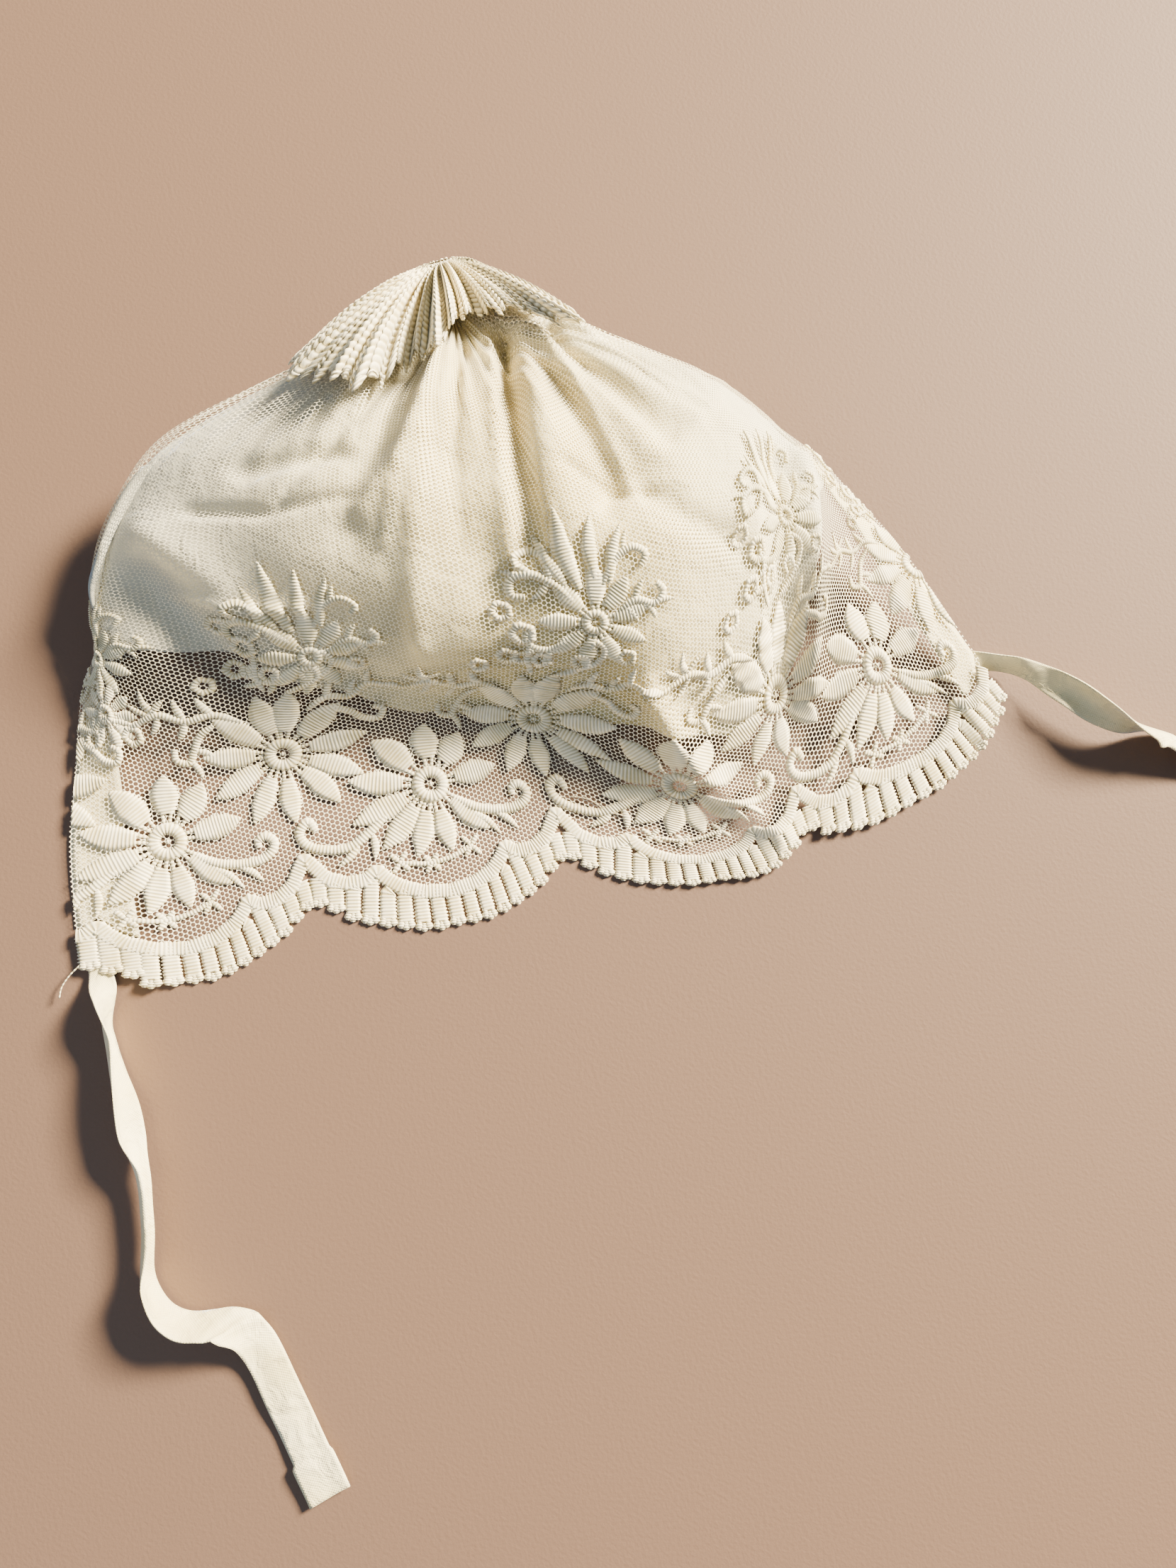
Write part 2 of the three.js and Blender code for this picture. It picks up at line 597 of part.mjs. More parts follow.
// A flat tape along its route, with a doubled hem at the free end. hand is 1 where the
// width lies to the left of the route's own direction and -1 where it lies to the right.
function tie(route, hand) {
  const keys = ["x", "y", "across", "roll", "lift"];
  const stops = [0];
  for (let i = 1; i < route.length; i += 1) {
    stops.push(stops[i - 1] + Math.hypot(route[i].x - route[i - 1].x, route[i].y - route[i - 1].y));
  }
  const length = stops[stops.length - 1];
  const steps = Math.round(length / tieRowPitch);
  const rows = [];
  for (let j = 0; j <= steps; j += 1) {
    const shares = splineShares(stops, (length * j) / steps);
    const at = {};
    for (const key of keys) {
      at[key] = shares.reduce((sum, share, i) => sum + share * route[i][key], 0);
    }
    const across = THREE.MathUtils.degToRad(at.across);
    const roll = THREE.MathUtils.degToRad(at.roll);
    const wall = length - (length * j) / steps < hemLength ? hemWall : tieWall;
    const half = new THREE.Vector3(
      Math.cos(across) * Math.cos(roll), Math.sin(across) * Math.cos(roll), Math.sin(roll),
    ).multiplyScalar(tieWidth / 2);
    const face = new THREE.Vector3(
      -Math.cos(across) * Math.sin(roll), -Math.sin(across) * Math.sin(roll), Math.cos(roll),
    ).multiplyScalar(wall / 2);
    const z = Math.abs(half.z) + Math.abs(face.z) + Math.max(at.lift, 0) * crownHeight + tieLift;
    const place = new THREE.Vector3(at.x, at.y, z);
    rows.push([hand, -hand].map((side) => {
      const rim = place.clone().addScaledVector(half, side);
      return { top: rim.clone().add(face), bottom: rim.clone().sub(face) };
    }));
  }
  return gridPlate(rows);
}

function cloth(color, roughness) {
  return new THREE.MeshStandardMaterial({ color, roughness, metalness: 0, side: THREE.DoubleSide });
}

function piece(name, geometry, material) {
  const mesh = new THREE.Mesh(geometry, material);
  mesh.name = name;
  return mesh;
}

const group = new THREE.Group();
group.add(piece("net_shell", netShell(), cloth(0xf1eedf, 0.85)));
group.add(piece("lining", lining(), cloth(0xece7cf, 0.8)));
group.add(piece("face_border", scallopBorder(), cloth(0xf4f1e4, 0.75)));
group.add(piece("rosette", rosette(), cloth(0xf5f2e4, 0.75)));
group.add(piece("neck_tape_left", neckTape([seamTrim, seamTrim + tapeWidth]), cloth(0xf2ecd2, 0.7)));
group.add(piece("neck_tape_right", neckTape([panelEnd - tapeWidth, panelEnd]), cloth(0xf2ecd2, 0.7)));
group.add(piece("tie_left", tie(leftRoute, 1), cloth(0xf3efdc, 0.7)));
group.add(piece("tie_right", tie(rightRoute, -1), cloth(0xf3efdc, 0.7)));

export default group;
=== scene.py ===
import math
import bpy
import bmesh
import numpy as np
from mathutils import Matrix, Vector


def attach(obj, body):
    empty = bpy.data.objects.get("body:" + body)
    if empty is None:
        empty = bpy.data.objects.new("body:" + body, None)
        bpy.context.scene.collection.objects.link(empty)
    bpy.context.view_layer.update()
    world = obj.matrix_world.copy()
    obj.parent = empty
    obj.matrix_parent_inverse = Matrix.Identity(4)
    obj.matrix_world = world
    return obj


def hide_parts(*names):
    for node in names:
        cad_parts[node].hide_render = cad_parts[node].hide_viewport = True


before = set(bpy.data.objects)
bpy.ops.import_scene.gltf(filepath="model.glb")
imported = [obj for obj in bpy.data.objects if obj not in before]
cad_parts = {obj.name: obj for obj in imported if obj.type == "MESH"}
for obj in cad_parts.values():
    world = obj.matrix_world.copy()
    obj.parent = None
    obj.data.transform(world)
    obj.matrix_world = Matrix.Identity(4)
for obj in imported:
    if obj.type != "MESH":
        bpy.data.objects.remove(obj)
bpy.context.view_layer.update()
mm = 0.001


# sRGB hex to the linear colour that a shader wants
def colour(code, alpha=1.0):
    parts = [int(code[i:i + 2], 16) / 255 for i in (1, 3, 5)]
    return [p / 12.92 if p <= 0.04045 else ((p + 0.055) / 1.055) ** 2.4 for p in parts] + [alpha]


# Adds a node, sets its settings, and sets or links its inputs
def addNode(tree, kind, inputs=None, **settings):
    made = tree.nodes.new(kind)
    for name, value in settings.items():
        setattr(made, name, value)
    for name, value in (inputs or {}).items():
        if isinstance(value, bpy.types.NodeSocket):
            tree.links.new(value, made.inputs[name])
        else:
            made.inputs[name].default_value = value
    return made


# A math node's result
def reckon(tree, operation, *values):
    return addNode(tree, "ShaderNodeMath", dict(enumerate(values)), operation=operation).outputs[0]


# A colour between two, by a factor
def blend(tree, factor, first, second):
    inputs = {"Factor": factor, 6: first, 7: second}
    return addNode(tree, "ShaderNodeMix", inputs, data_type="RGBA").outputs[2]


# An uneven value that follows the place on the object
def addNoise(tree, scale, detail, distortion=0.0):
    place = addNode(tree, "ShaderNodeTexCoord").outputs["Object"]
    return addNode(tree, "ShaderNodeTexNoise", {
        "Vector": place, "Scale": scale, "Detail": detail, "Distortion": distortion}).outputs["Fac"]


# A value between two limits, spread from 0 to the most
def spread(tree, value, low, high, most=1.0):
    return addNode(tree, "ShaderNodeMapRange", {
        "Value": value, "From Min": low, "From Max": high, "To Max": most}).outputs[0]


def addSurface(tree, inputs):
    shader = addNode(tree, "ShaderNodeBsdfPrincipled", inputs)
    addNode(tree, "ShaderNodeOutputMaterial", {"Surface": shader.outputs[0]})


def newMaterial(name):
    material = bpy.data.materials.new(name)
    material.use_nodes = True
    material.node_tree.nodes.clear()
    return material, material.node_tree


# Where the flat panel lies: a share of its height, then x, y and rise at nine places along it,
# in shares of half the face span, the lying depth and the crown's height
panelLevels = [
    (0,
     [-1.000, -0.779, -0.513, -0.234, 0.014, 0.283, 0.510, 0.800, 1.017],
     [-0.051, -0.083, -0.099, -0.119, -0.148, -0.176, -0.218, -0.125, -0.077],
     [0, 0, 0, 0, 0, 0.01, 0.02, 0.02, 0.03]),
    (0.106,
     [-0.983, -0.772, -0.506, -0.223, 0.019, 0.283, 0.507, 0.766, 0.966],
     [0.103, 0.077, 0.061, 0.042, 0.012, -0.067, -0.077, 0.022, 0.061],
     [0, 0, 0, 0, 0, 0.02, 0.05, 0.07, 0.05]),
    (0.191,
     [-0.959, -0.764, -0.499, -0.212, 0.022, 0.279, 0.510, 0.734, 0.917],
     [0.231, 0.205, 0.189, 0.170, 0.138, 0.026, 0.042, 0.141, 0.192],
     [0.01, 0.01, 0.01, 0.02, 0.03, 0.09, 0.13, 0.22, 0.12]),
    (0.264,
     [-0.924, -0.752, -0.491, -0.207, 0.027, 0.276, 0.519, 0.697, 0.879],
     [0.340, 0.314, 0.295, 0.269, 0.215, 0.109, 0.125, 0.244, 0.301],
     [0.01, 0.06, 0.03, 0.08, 0.13, 0.27, 0.24, 0.36, 0.16]),
    (0.426,
     [-0.834, -0.759, -0.455, -0.186, 0.083, 0.331, 0.566, 0.697, 0.803],
     [0.558, 0.538, 0.462, 0.397, 0.327, 0.282, 0.372, 0.429, 0.462],
     [0.03, 0.27, 0.45, 0.62, 0.63, 0.70, 0.65, 0.47, 0.19]),
    (0.596,
     [-0.662, -0.759, -0.441, -0.172, 0.110, 0.345, 0.552, 0.648, 0.697],
     [0.679, 0.724, 0.667, 0.596, 0.538, 0.513, 0.583, 0.647, 0.628],
     [0.06, 0.30, 0.79, 0.97, 0.98, 0.93, 0.74, 0.49, 0.21]),
    (0.787,
     [-0.428, -0.545, -0.310, -0.097, 0.103, 0.276, 0.434, 0.510, 0.483],
     [0.795, 0.923, 0.840, 0.795, 0.763, 0.750, 0.769, 0.782, 0.744],
     [0.12, 0.41, 0.84, 0.98, 0.95, 0.86, 0.72, 0.51, 0.23]),
    (1,
     [0.048, 0.045, 0.054, 0.074, 0.101, 0.132, 0.154, 0.172, 0.172],
     [1.006, 0.987, 0.963, 0.940, 0.929, 0.933, 0.946, 0.974, 1.006],
     [0.58, 0.70, 0.77, 0.79, 0.79, 0.79, 0.77, 0.72, 0.58]),
]

folds = [  # three places, width, rise, fade
    (0.18, 0.89, 0.15, 0.71, 0.11, 0.47, 0.08, -0.15, 0.5),
    (0.21, 0.90, 0.21, 0.72, 0.20, 0.50, 0.12, 0.08, 0.6),
    (0.06, 0.90, -0.03, 0.73, -0.15, 0.38, 0.09, 0.07, 0.5),
    (0.03, 0.90, -0.09, 0.76, -0.21, 0.59, 0.12, -0.07, 0.4),
    (0.23, 0.88, 0.32, 0.73, 0.39, 0.58, 0.09, 0.07, 0.3),
    (0.21, 0.89, 0.27, 0.72, 0.30, 0.54, 0.09, -0.07, 0.3),
    (0.28, 0.87, 0.40, 0.74, 0.50, 0.64, 0.08, 0.06, 0.3),
    (0.25, 0.88, 0.36, 0.74, 0.44, 0.62, 0.07, -0.06, 0.4),
    (0.31, 0.87, 0.44, 0.79, 0.57, 0.71, 0.08, 0.05, 0.3),
    (0.39, 0.56, 0.33, 0.54, 0.28, 0.51, 0.08, -0.06, 0),
    (0.36, 0.51, 0.43, 0.45, 0.51, 0.39, 0.09, -0.06, 0),
    (-0.39, 0.77, -0.28, 0.75, -0.19, 0.73, 0.08, -0.07, 0),
    (-0.67, 0.66, -0.61, 0.56, -0.54, 0.46, 0.16, -0.14, 0.2),
    (-0.62, 0.73, -0.51, 0.60, -0.44, 0.49, 0.15, 0.07, 0.2),
    (-0.04, 0.72, -0.11, 0.67, -0.18, 0.62, 0.09, 0.06, 0),
    (0.70, 0.54, 0.66, 0.35, 0.59, 0.11, 0.09, 0.10, 0.2),
    (0.64, 0.53, 0.60, 0.35, 0.53, 0.14, 0.12, -0.07, 0.2),
    (0.26, 0.18, 0.33, 0.02, 0.45, -0.13, 0.10, 0.15, 0.6),
    (-0.33, 0.38, 0, 0.24, 0.26, 0.15, 0.12, -0.05, 0),
    (0.01, 0.67, 0.02, 0.54, 0.03, 0.41, 0.21, -0.05, 0),
]

bandLine = [  # from a scallop's middle to its end, share of the border's peak
    (0, 0.40), (0.2, 0.44), (0.36, 0.53), (0.46, 0.65), (0.51, 0.74),
    (0.59, 0.67), (0.74, 0.68), (0.87, 0.77), (0.95, 0.92), (1, 1),
]
liningEdge = [  # share along the panel, share of its height
    (0.08, 0.45), (0.17, 0.44), (0.25, 0.42), (0.32, 0.36), (0.38, 0.29), (0.50, 0.245), (0.61, 0.275),
    (0.66, 0.25), (0.70, 0.24), (0.77, 0.265), (0.82, 0.34), (0.88, 0.43), (0.96, 0.47),
]
rosetteEdge = [  # x, y, lift off the cloth, least height
    (0.338, 0.862, 0.02, 0.60), (0.275, 0.878, 0.03, 0.66), (0.236, 0.897, 0.05, 0.74),
    (0.212, 0.905, 0.09, 0.80), (0.176, 0.912, 0.11, 0.82), (0.150, 0.930, 0.02, 0.80),
    (0.112, 0.905, 0.10, 0.84), (0.062, 0.862, 0.08, 0.84), (0.012, 0.872, 0.01, 0.78),
    (-0.050, 0.838, 0.03, 0.76), (-0.105, 0.835, 0.05, 0.74), (-0.152, 0.850, 0.03, 0.68),
    (-0.200, 0.880, 0.02, 0.60), (-0.228, 0.925, 0.04, 0.52), (-0.200, 0.965, 0.05, 0.46),
    (-0.140, 0.990, 0.03, 0.42), (-0.085, 1.010, 0.03, 0.36), (-0.040, 1.045, 0.03, 0.38),
    (0.015, 1.065, 0.03, 0.46), (0.070, 1.085, 0.03, 0.50), (0.140, 1.075, 0.03, 0.54),
    (0.200, 1.020, 0.03, 0.54), (0.252, 0.960, 0.02, 0.52), (0.310, 0.900, 0.01, 0.52),
]
leftRoute = [  # x, y, across, roll, lift
    (-138, 8, -10, 0, 0), (-138.8, -4.5, -12, -6, 0), (-138.4, -11, -8, -66, 0),
    (-140.6, -19.5, -8, -100, 0), (-140.6, -32, -4, -86, 0), (-140.4, -47, -10, -56, 0),
    (-140.8, -62, -6, -80, 0), (-142.2, -74, -4, -88, 0), (-145.2, -85.5, -3, -85, 0),
    (-145.4, -93, 22, -78, 0), (-143, -100.3, 44, -68, 0), (-138, -104.8, 62, -60, 0),
    (-130.5, -107, 64, -55, 0), (-125.4, -108.9, 62, -38, 0), (-121.8, -111.3, 46, -26, 0),
    (-119.8, -115.4, 29, -12, 0), (-118, -122, 24, -6, 0), (-115.4, -135.5, 15, -2, 0),
    (-112.6, -148.5, 12, 0, 0), (-110.2, -160.5, 12, 0, 0),
]
rightRoute = [  # x, y, across, roll, lift
    (137.2, 14.6, -76, 0, 0.034), (144.4, 11, -68, -24, 0.01), (149.8, 7, -84, -30, 0.06),
    (155.7, 1.1, -105, -16, 0.10), (161.4, -4.7, -118, -24, 0.09), (167.9, -11.8, -126, -52, 0.06),
    (174.1, -17.2, -124, -82, 0.04), (180.6, -21.4, -119, -116, 0.03), (187, -26.1, -114, -138, 0.02),
    (196.5, -35, -128, -162, 0), (206, -46.5, -144, -176, 0), (214, -60, -154, -180, 0),
    (219.5, -75, -162, -180, 0), (223, -91, -168, -180, 0), (225.5, -107, -172, -180, 0),
    (226.5, -122, -176, -180, 0), (226.5, -136, -180, -180, 0),
]

# How the bonnet lies and the flat panel that it is sewn from, as the CAD has them, in millimetres
panel = {
    "faceSpan": 290, "layDepth": 156, "crownHeight": 43,
    "repeatLength": 78, "repeatCount": 4, "seamTrim": 14, "height": 235,
    "scallopDepth": 16, "bars": 17, "barGap": 0.8, "barLong": 10.6, "barShort": 6, "barLean": 2.8,
    "borderPeak": 30.5, "tapeWidth": 14, "tapeStack": 1.48, "netWall": 1,
    "tieWidth": 11, "tieWall": 0.9, "tieLift": 0.15, "hemLength": 11.5,
}
halfSpan = panel["faceSpan"] / 2
halfRepeat = panel["repeatLength"] / 2
panelEnd = panel["repeatLength"] * panel["repeatCount"]
scallopRadius = (halfRepeat ** 2 + panel["scallopDepth"] ** 2) / (2 * panel["scallopDepth"])
ribStations = np.array([panel["seamTrim"]] + [k * halfRepeat for k in range(1, 2 * panel["repeatCount"] + 1)])
levelStations = np.array([level[0] for level in panelLevels]) * panel["height"]
levelValues = np.array([level[1:] for level in panelLevels])


# Share of each station's value in a smooth curve through them, at each place
def splineShares(stations, places):
    last = len(stations) - 1
    index = np.clip(np.searchsorted(stations, places, side="right") - 1, 0, last - 1)
    row = np.arange(len(places))
    step = stations[index + 1] - stations[index]
    t = (places - stations[index]) / step
    s = np.clip(t, 0, 1)
    shares = np.zeros((len(places), last + 1))
    shares[row, index] += 2 * s ** 3 - 3 * s ** 2 + 1 - (t - s)
    shares[row, index + 1] += 3 * s ** 2 - 2 * s ** 3 + (t - s)
    for at, pull in ((index, s ** 3 - 2 * s ** 2 + s), (index + 1, s ** 3 - s ** 2)):
        low, high = np.maximum(at - 1, 0), np.minimum(at + 1, last)
        slope = pull * step / (stations[high] - stations[low])
        shares[row, high] += slope
        shares[row, low] -= slope
    return shares


def smoothStep(value):
    t = np.clip(value, 0, 1)
    return t * t * (3 - 2 * t)


def tapeCover(u):
    side = np.minimum(u - panel["seamTrim"], panelEnd - u)
    return 1 - smoothStep((side - panel["tapeWidth"] - 1) / (panel["tapeWidth"] / 2))


def clothFloor(u):
    return tapeCover(u) * panel["tapeStack"] + panel["netWall"] / 2


def panelPoint(u, v):
    along, up = splineShares(ribStations, u), splineShares(levelStations, v)
    place = np.einsum("ni,nj,jki->nk", along, up, levelValues)
    z = np.maximum(place[:, 2], 0) * panel["crownHeight"] + clothFloor(u)
    return np.stack([place[:, 0] * halfSpan, place[:, 1] * panel["layDepth"], z], 1)


# Sharp creases from the gathers, on the CAD's broad folds, in the same shares
creases = [  # three places, width, rise, fade
    (0.19, 0.90, 0.165, 0.72, 0.13, 0.48, 0.040, -0.090, 0.5),
    (0.155, 0.88, 0.115, 0.70, 0.07, 0.45, 0.032, 0.051, 0.5),
    (0.10, 0.88, 0.03, 0.70, -0.02, 0.50, 0.030, -0.048, 0.5),
    (0.06, 0.88, -0.06, 0.72, -0.15, 0.55, 0.034, 0.054, 0.5),
    (0.02, 0.89, -0.16, 0.78, -0.33, 0.68, 0.034, -0.054, 0.5),
    (0.00, 0.90, -0.20, 0.83, -0.42, 0.76, 0.034, 0.045, 0.5),
    (0.25, 0.88, 0.30, 0.70, 0.34, 0.50, 0.034, 0.054, 0.5),
    (0.27, 0.88, 0.36, 0.72, 0.43, 0.60, 0.032, -0.054, 0.5),
    (0.30, 0.88, 0.42, 0.76, 0.54, 0.66, 0.032, 0.051, 0.5),
    (-0.52, 0.74, -0.36, 0.67, -0.20, 0.65, 0.040, -0.051, 0.4),
    (-0.62, 0.62, -0.50, 0.55, -0.34, 0.50, 0.040, 0.051, 0.4),
    (0.22, 0.60, 0.30, 0.52, 0.42, 0.50, 0.034, -0.045, 0.3),
]


def foldHeight(x, y):
    height = np.zeros(len(x))
    for row in folds + creases:
        points = np.reshape(row[:6], (3, 2)) * [halfSpan, panel["layDepth"]]
        width, rise, fade = row[6:]
        nearest = np.full(len(x), 1e9)
        reached = np.zeros(len(x))
        for i in range(len(points) - 1):
            run = points[i + 1] - points[i]
            offset = np.stack([x, y], 1) - points[i]
            t = np.clip(offset @ run / (run @ run), 0, 1)
            distance = np.linalg.norm(offset - t[:, None] * run, axis=1)
            closer = distance < nearest
            nearest = np.where(closer, distance, nearest)
            reached = np.where(closer, (i + t) / (len(points) - 1), reached)
        shape = np.exp(-((nearest / (width * panel["crownHeight"])) ** 1.7))
        height += rise * panel["crownHeight"] * shape * (1 - fade * reached)
    return height


# Small gathers that the CAD leaves out: pleats towards the gathered back, a rippled stretch
# where the cloth rolls under, and a faint unevenness everywhere that it is lifted
gathers = {
    "pleatPitch": 8.9, "pleatRise": 1.0, "pleatFrom": 145, "dentRise": 0.6, "dentFrom": 4, "dentOver": 12,
    "rippleRise": 0.5, "rippleFrom": 96, "rippleTo": 262, "rippleFade": 40, "rippleAt": 80, "rippleHigh": 9,
}


def gatherHeight(u, v, z):
    wander = 1.3 * np.sin(u / 23 + 0.6) + 0.9 * np.sin(v / 31 + u / 47)
    grown = smoothStep((v - gathers["pleatFrom"]) / (panel["height"] - gathers["pleatFrom"]))
    turns = 2 * math.pi * u / gathers["pleatPitch"] + 1.6 * wander
    pleats = gathers["pleatRise"] * grown * (np.sin(turns) + 0.6 * np.sin(1.63 * turns + 1.1))
    fade = gathers["rippleFade"]
    middle = smoothStep((u - gathers["rippleFrom"]) / fade) * smoothStep((gathers["rippleTo"] - u) / fade)
    band = np.exp(-((v - gathers["rippleAt"] - 7 * np.sin(u / 19)) / gathers["rippleHigh"]) ** 2)
    ripples = gathers["rippleRise"] * middle * band * np.sin(v * 1.35 + 2.2 * np.sin(u / 13))
    lifted = smoothStep((z - gathers["dentFrom"]) / gathers["dentOver"])
    dents = gathers["dentRise"] * lifted * np.sin(u / 8.3 + v / 13.7) * np.sin(v / 10.1 - u / 19.3)
    return pleats + ripples + dents


# Places on the cloth from flat places: u along the face edge, v up the panel, offset off its middle
def clothPoint(flat):
    u, v, offset = flat[:, 0], flat[:, 1], flat[:, 2]
    probe = 1.5
    place = panelPoint(u, v)
    across = panelPoint(u + probe, v) - panelPoint(u - probe, v)
    up = panelPoint(u, v + probe) - panelPoint(u, v - probe)
    normal = np.cross(across, up)
    normal /= np.linalg.norm(normal, axis=1)[:, None]
    upward = smoothStep((normal[:, 2] - 0.1) / 0.5)
    rise = upward * foldHeight(place[:, 0], place[:, 1]) + gatherHeight(u, v, place[:, 2])
    place += normal * rise[:, None]
    place[:, 2] = np.maximum(place[:, 2], clothFloor(u))
    place += normal * offset[:, None]
    place[:, 2] = np.maximum(place[:, 2], 0.02)
    return place


# Evenly spaced places on a smooth line through the given ones
def smoothLine(points, pitch, closed=False):
    points = np.array(points, float)
    if closed:
        points = np.vstack([points, points[:1]])
    stops = np.concatenate([[0], np.cumsum(np.linalg.norm(np.diff(points, axis=0), axis=1))])
    fine = np.linspace(0, stops[-1], max(int(stops[-1] / pitch) * 3, 12))
    if closed:
        ring = np.concatenate([stops[:-1] - stops[-1], stops, stops[1:] + stops[-1]])
        values = np.vstack([points[:-1], points, points[1:]])
        line = splineShares(ring, fine) @ values
    else:
        line = splineShares(stops, fine) @ points if len(points) > 2 else np.stack(
            [np.interp(fine, stops, points[:, k]) for k in range(points.shape[1])], 1)
    run = np.concatenate([[0], np.cumsum(np.linalg.norm(np.diff(line, axis=0), axis=1))])
    count = max(int(round(run[-1] / pitch)), 4)
    even = np.linspace(0, run[-1], count + 1)
    return np.stack([np.interp(even, run, line[:, k]) for k in range(line.shape[1])], 1), run[-1]


# A padded satin stroke, still flat: a grid drawn out along a line, domed across, with the
# stitches as fine ridges. widths gives half widths at shares of the way along.
def addStroke(bm, points, widths, puff=0.7, pitch=0.5, rows=4, closed=False, ridge=0.14, lift=0.1):
    line = smoothLine(points, pitch, closed)[0]
    count = len(line) - 1
    made = bmesh.ops.create_grid(bm, x_segments=count, y_segments=rows, size=0.5)["verts"]
    grid = np.array([vert.co[:] for vert in made])
    column = np.rint((grid[:, 0] + 0.5) * count).astype(int)
    side = grid[:, 1] * 2
    run = np.gradient(line, axis=0)
    if closed:
        run[0] = run[-1] = line[1] - line[-2]
    run /= np.linalg.norm(run, axis=1)[:, None]
    shares, halves = zip(*widths)
    half = np.interp(column / count, shares, halves)
    wave = np.where(column % 2 == 0, 1.0, -1.0)
    half = half * (1 + 0.1 * wave + 0.07 * np.sin(2.7 * column + 5.1 * line[0, 0]))
    across = np.stack([-run[column, 1], run[column, 0]], 1) * (side * half)[:, None]
    dome = np.sqrt(np.clip(1 - side ** 2, 0, 1))
    height = lift + puff * np.minimum(half / 1.6, 1) * dome + ridge * wave * dome
    uvLayer = bm.loops.layers.uv.get("flat") or bm.loops.layers.uv.new("flat")
    for vert, place, turn, z in zip(made, line[column], across, height):
        vert.co = (place[0] + turn[0], place[1] + turn[1], z)
    places = {vert: (col / 2, s * h) for vert, col, s, h in zip(made, column, side, half)}
    faces = {face for vert in made for face in vert.link_faces}
    for face in faces:
        face.smooth = True
        for loop in face.loops:
            loop[uvLayer].uv = places[loop.vert]


# A plain grid over a flat rectangle of cloth, with its flat place as UV in millimetres
def addCloth(bm, low, high, pitch, offset, upper=None):
    count = [max(int(round((high[k] - low[k]) / pitch)), 2) for k in (0, 1)]
    made = bmesh.ops.create_grid(bm, x_segments=count[0], y_segments=count[1], size=0.5)["verts"]
    uvLayer = bm.loops.layers.uv.get("flat") or bm.loops.layers.uv.new("flat")
    for vert in made:
        s, t = vert.co.x + 0.5, vert.co.y + 0.5
        u = low[0] + s * (high[0] - low[0])
        start = upper(u) if upper else low[1]
        vert.co = (u, start + t * (high[1] - start), offset)
    for face in bm.faces:
        face.smooth = True
        for loop in face.loops:
            loop[uvLayer].uv = loop.vert.co.xy


# Cuts flat work off at the two seams
def trimSeams(bm, low=panel["seamTrim"] + 0.4, high=panelEnd - 0.4):
    for u, way in ((low, -1), (high, 1)):
        everything = bm.verts[:] + bm.edges[:] + bm.faces[:]
        bmesh.ops.bisect_plane(
            bm, geom=everything, plane_co=(u, 0, 0), plane_no=(way, 0, 0), clear_outer=True)


# Lays flat work on its form and makes it an object at the origin
def laid(name, bm, form, material, wall=0, node=None):
    places = form(np.array([vert.co[:] for vert in bm.verts]))
    for vert, place in zip(bm.verts, places):
        vert.co = place * mm
    mesh = bpy.data.meshes.new(name)
    bm.to_mesh(mesh)
    bm.free()
    piece = bpy.data.objects.new(name, mesh)
    bpy.context.scene.collection.objects.link(piece)
    mesh.materials.append(material)
    if wall:
        solid = piece.modifiers.new("wall", "SOLIDIFY")
        solid.thickness = wall * mm
        solid.offset = -1
    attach(piece, "root")
    if node:
        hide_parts(node)
    print(name, len(mesh.polygons), "faces")
    return piece


# Cotton net, machine made: fine round threads in a hexagon mesh, dull, see-through between them.
# The mesh is 1.3 mm on the real one and drawn at 1.45 mm so that it still shows.
def cottonNet():
    look = {"thread": "#F8EECC", "pitch": 1.45, "threadEdge": -0.99, "holeEdge": -0.86}
    material, tree = newMaterial("cottonNet")
    flat = addNode(tree, "ShaderNodeUVMap", uv_map="flat").outputs["UV"]
    waveNumber = 4 * math.pi / (math.sqrt(3) * look["pitch"])
    total = None
    for degrees in (0, 60, 120):
        way = (waveNumber * math.cos(math.radians(degrees)), waveNumber * math.sin(math.radians(degrees)), 0)
        dot = addNode(tree, "ShaderNodeVectorMath", {0: flat, 1: way}, operation="DOT_PRODUCT")
        wave = reckon(tree, "COSINE", dot.outputs["Value"])
        total = wave if total is None else reckon(tree, "ADD", total, wave)
    hole = spread(tree, total, look["threadEdge"], look["holeEdge"])
    bump = addNode(tree, "ShaderNodeBump", {"Height": hole, "Strength": 0.5, "Distance": 0.0002}, invert=True)
    thread = addNode(tree, "ShaderNodeBsdfPrincipled", {
        "Base Color": colour(look["thread"]), "Roughness": 0.75, "Sheen Weight": 0.2,
        "Normal": bump.outputs[0]})
    clear = addNode(tree, "ShaderNodeBsdfTransparent")
    mixed = addNode(tree, "ShaderNodeMixShader", {0: hole, 1: thread.outputs[0], 2: clear.outputs[0]})
    addNode(tree, "ShaderNodeOutputMaterial", {"Surface": mixed.outputs[0]})
    return material


# Mercerised cotton embroidery thread in satin stitch: smooth, with a soft shine across the
# stitches. The thread is 0.3 mm thick and drawn at 1 mm so that it shows. Its own UV counts
# the stitches along each stroke.
def satinThread(name, light, deep):
    material, tree = newMaterial(name)
    flat = addNode(tree, "ShaderNodeUVMap", uv_map="flat").outputs["UV"]
    along = addNode(tree, "ShaderNodeSeparateXYZ", {0: flat}).outputs[0]
    wave = reckon(tree, "COSINE", reckon(tree, "MULTIPLY", along, 2 * math.pi))
    # The colour runs from deep in the grooves between stitches to light on their crowns: painted shade
    # between stitches, with random tone from the noise
    share = reckon(tree, "MULTIPLY_ADD", wave, 0.3, addNoise(tree, 160.0, 3.0))
    bump = addNode(tree, "ShaderNodeBump", {"Height": share, "Strength": 0.8, "Distance": 0.0003})
    addSurface(tree, {
        "Base Color": blend(tree, spread(tree, share, 0.15, 0.75), colour(deep), colour(light)),
        "Roughness": 0.48, "Sheen Weight": 0.25, "Sheen Roughness": 0.4, "Normal": bump.outputs[0]})
    return material
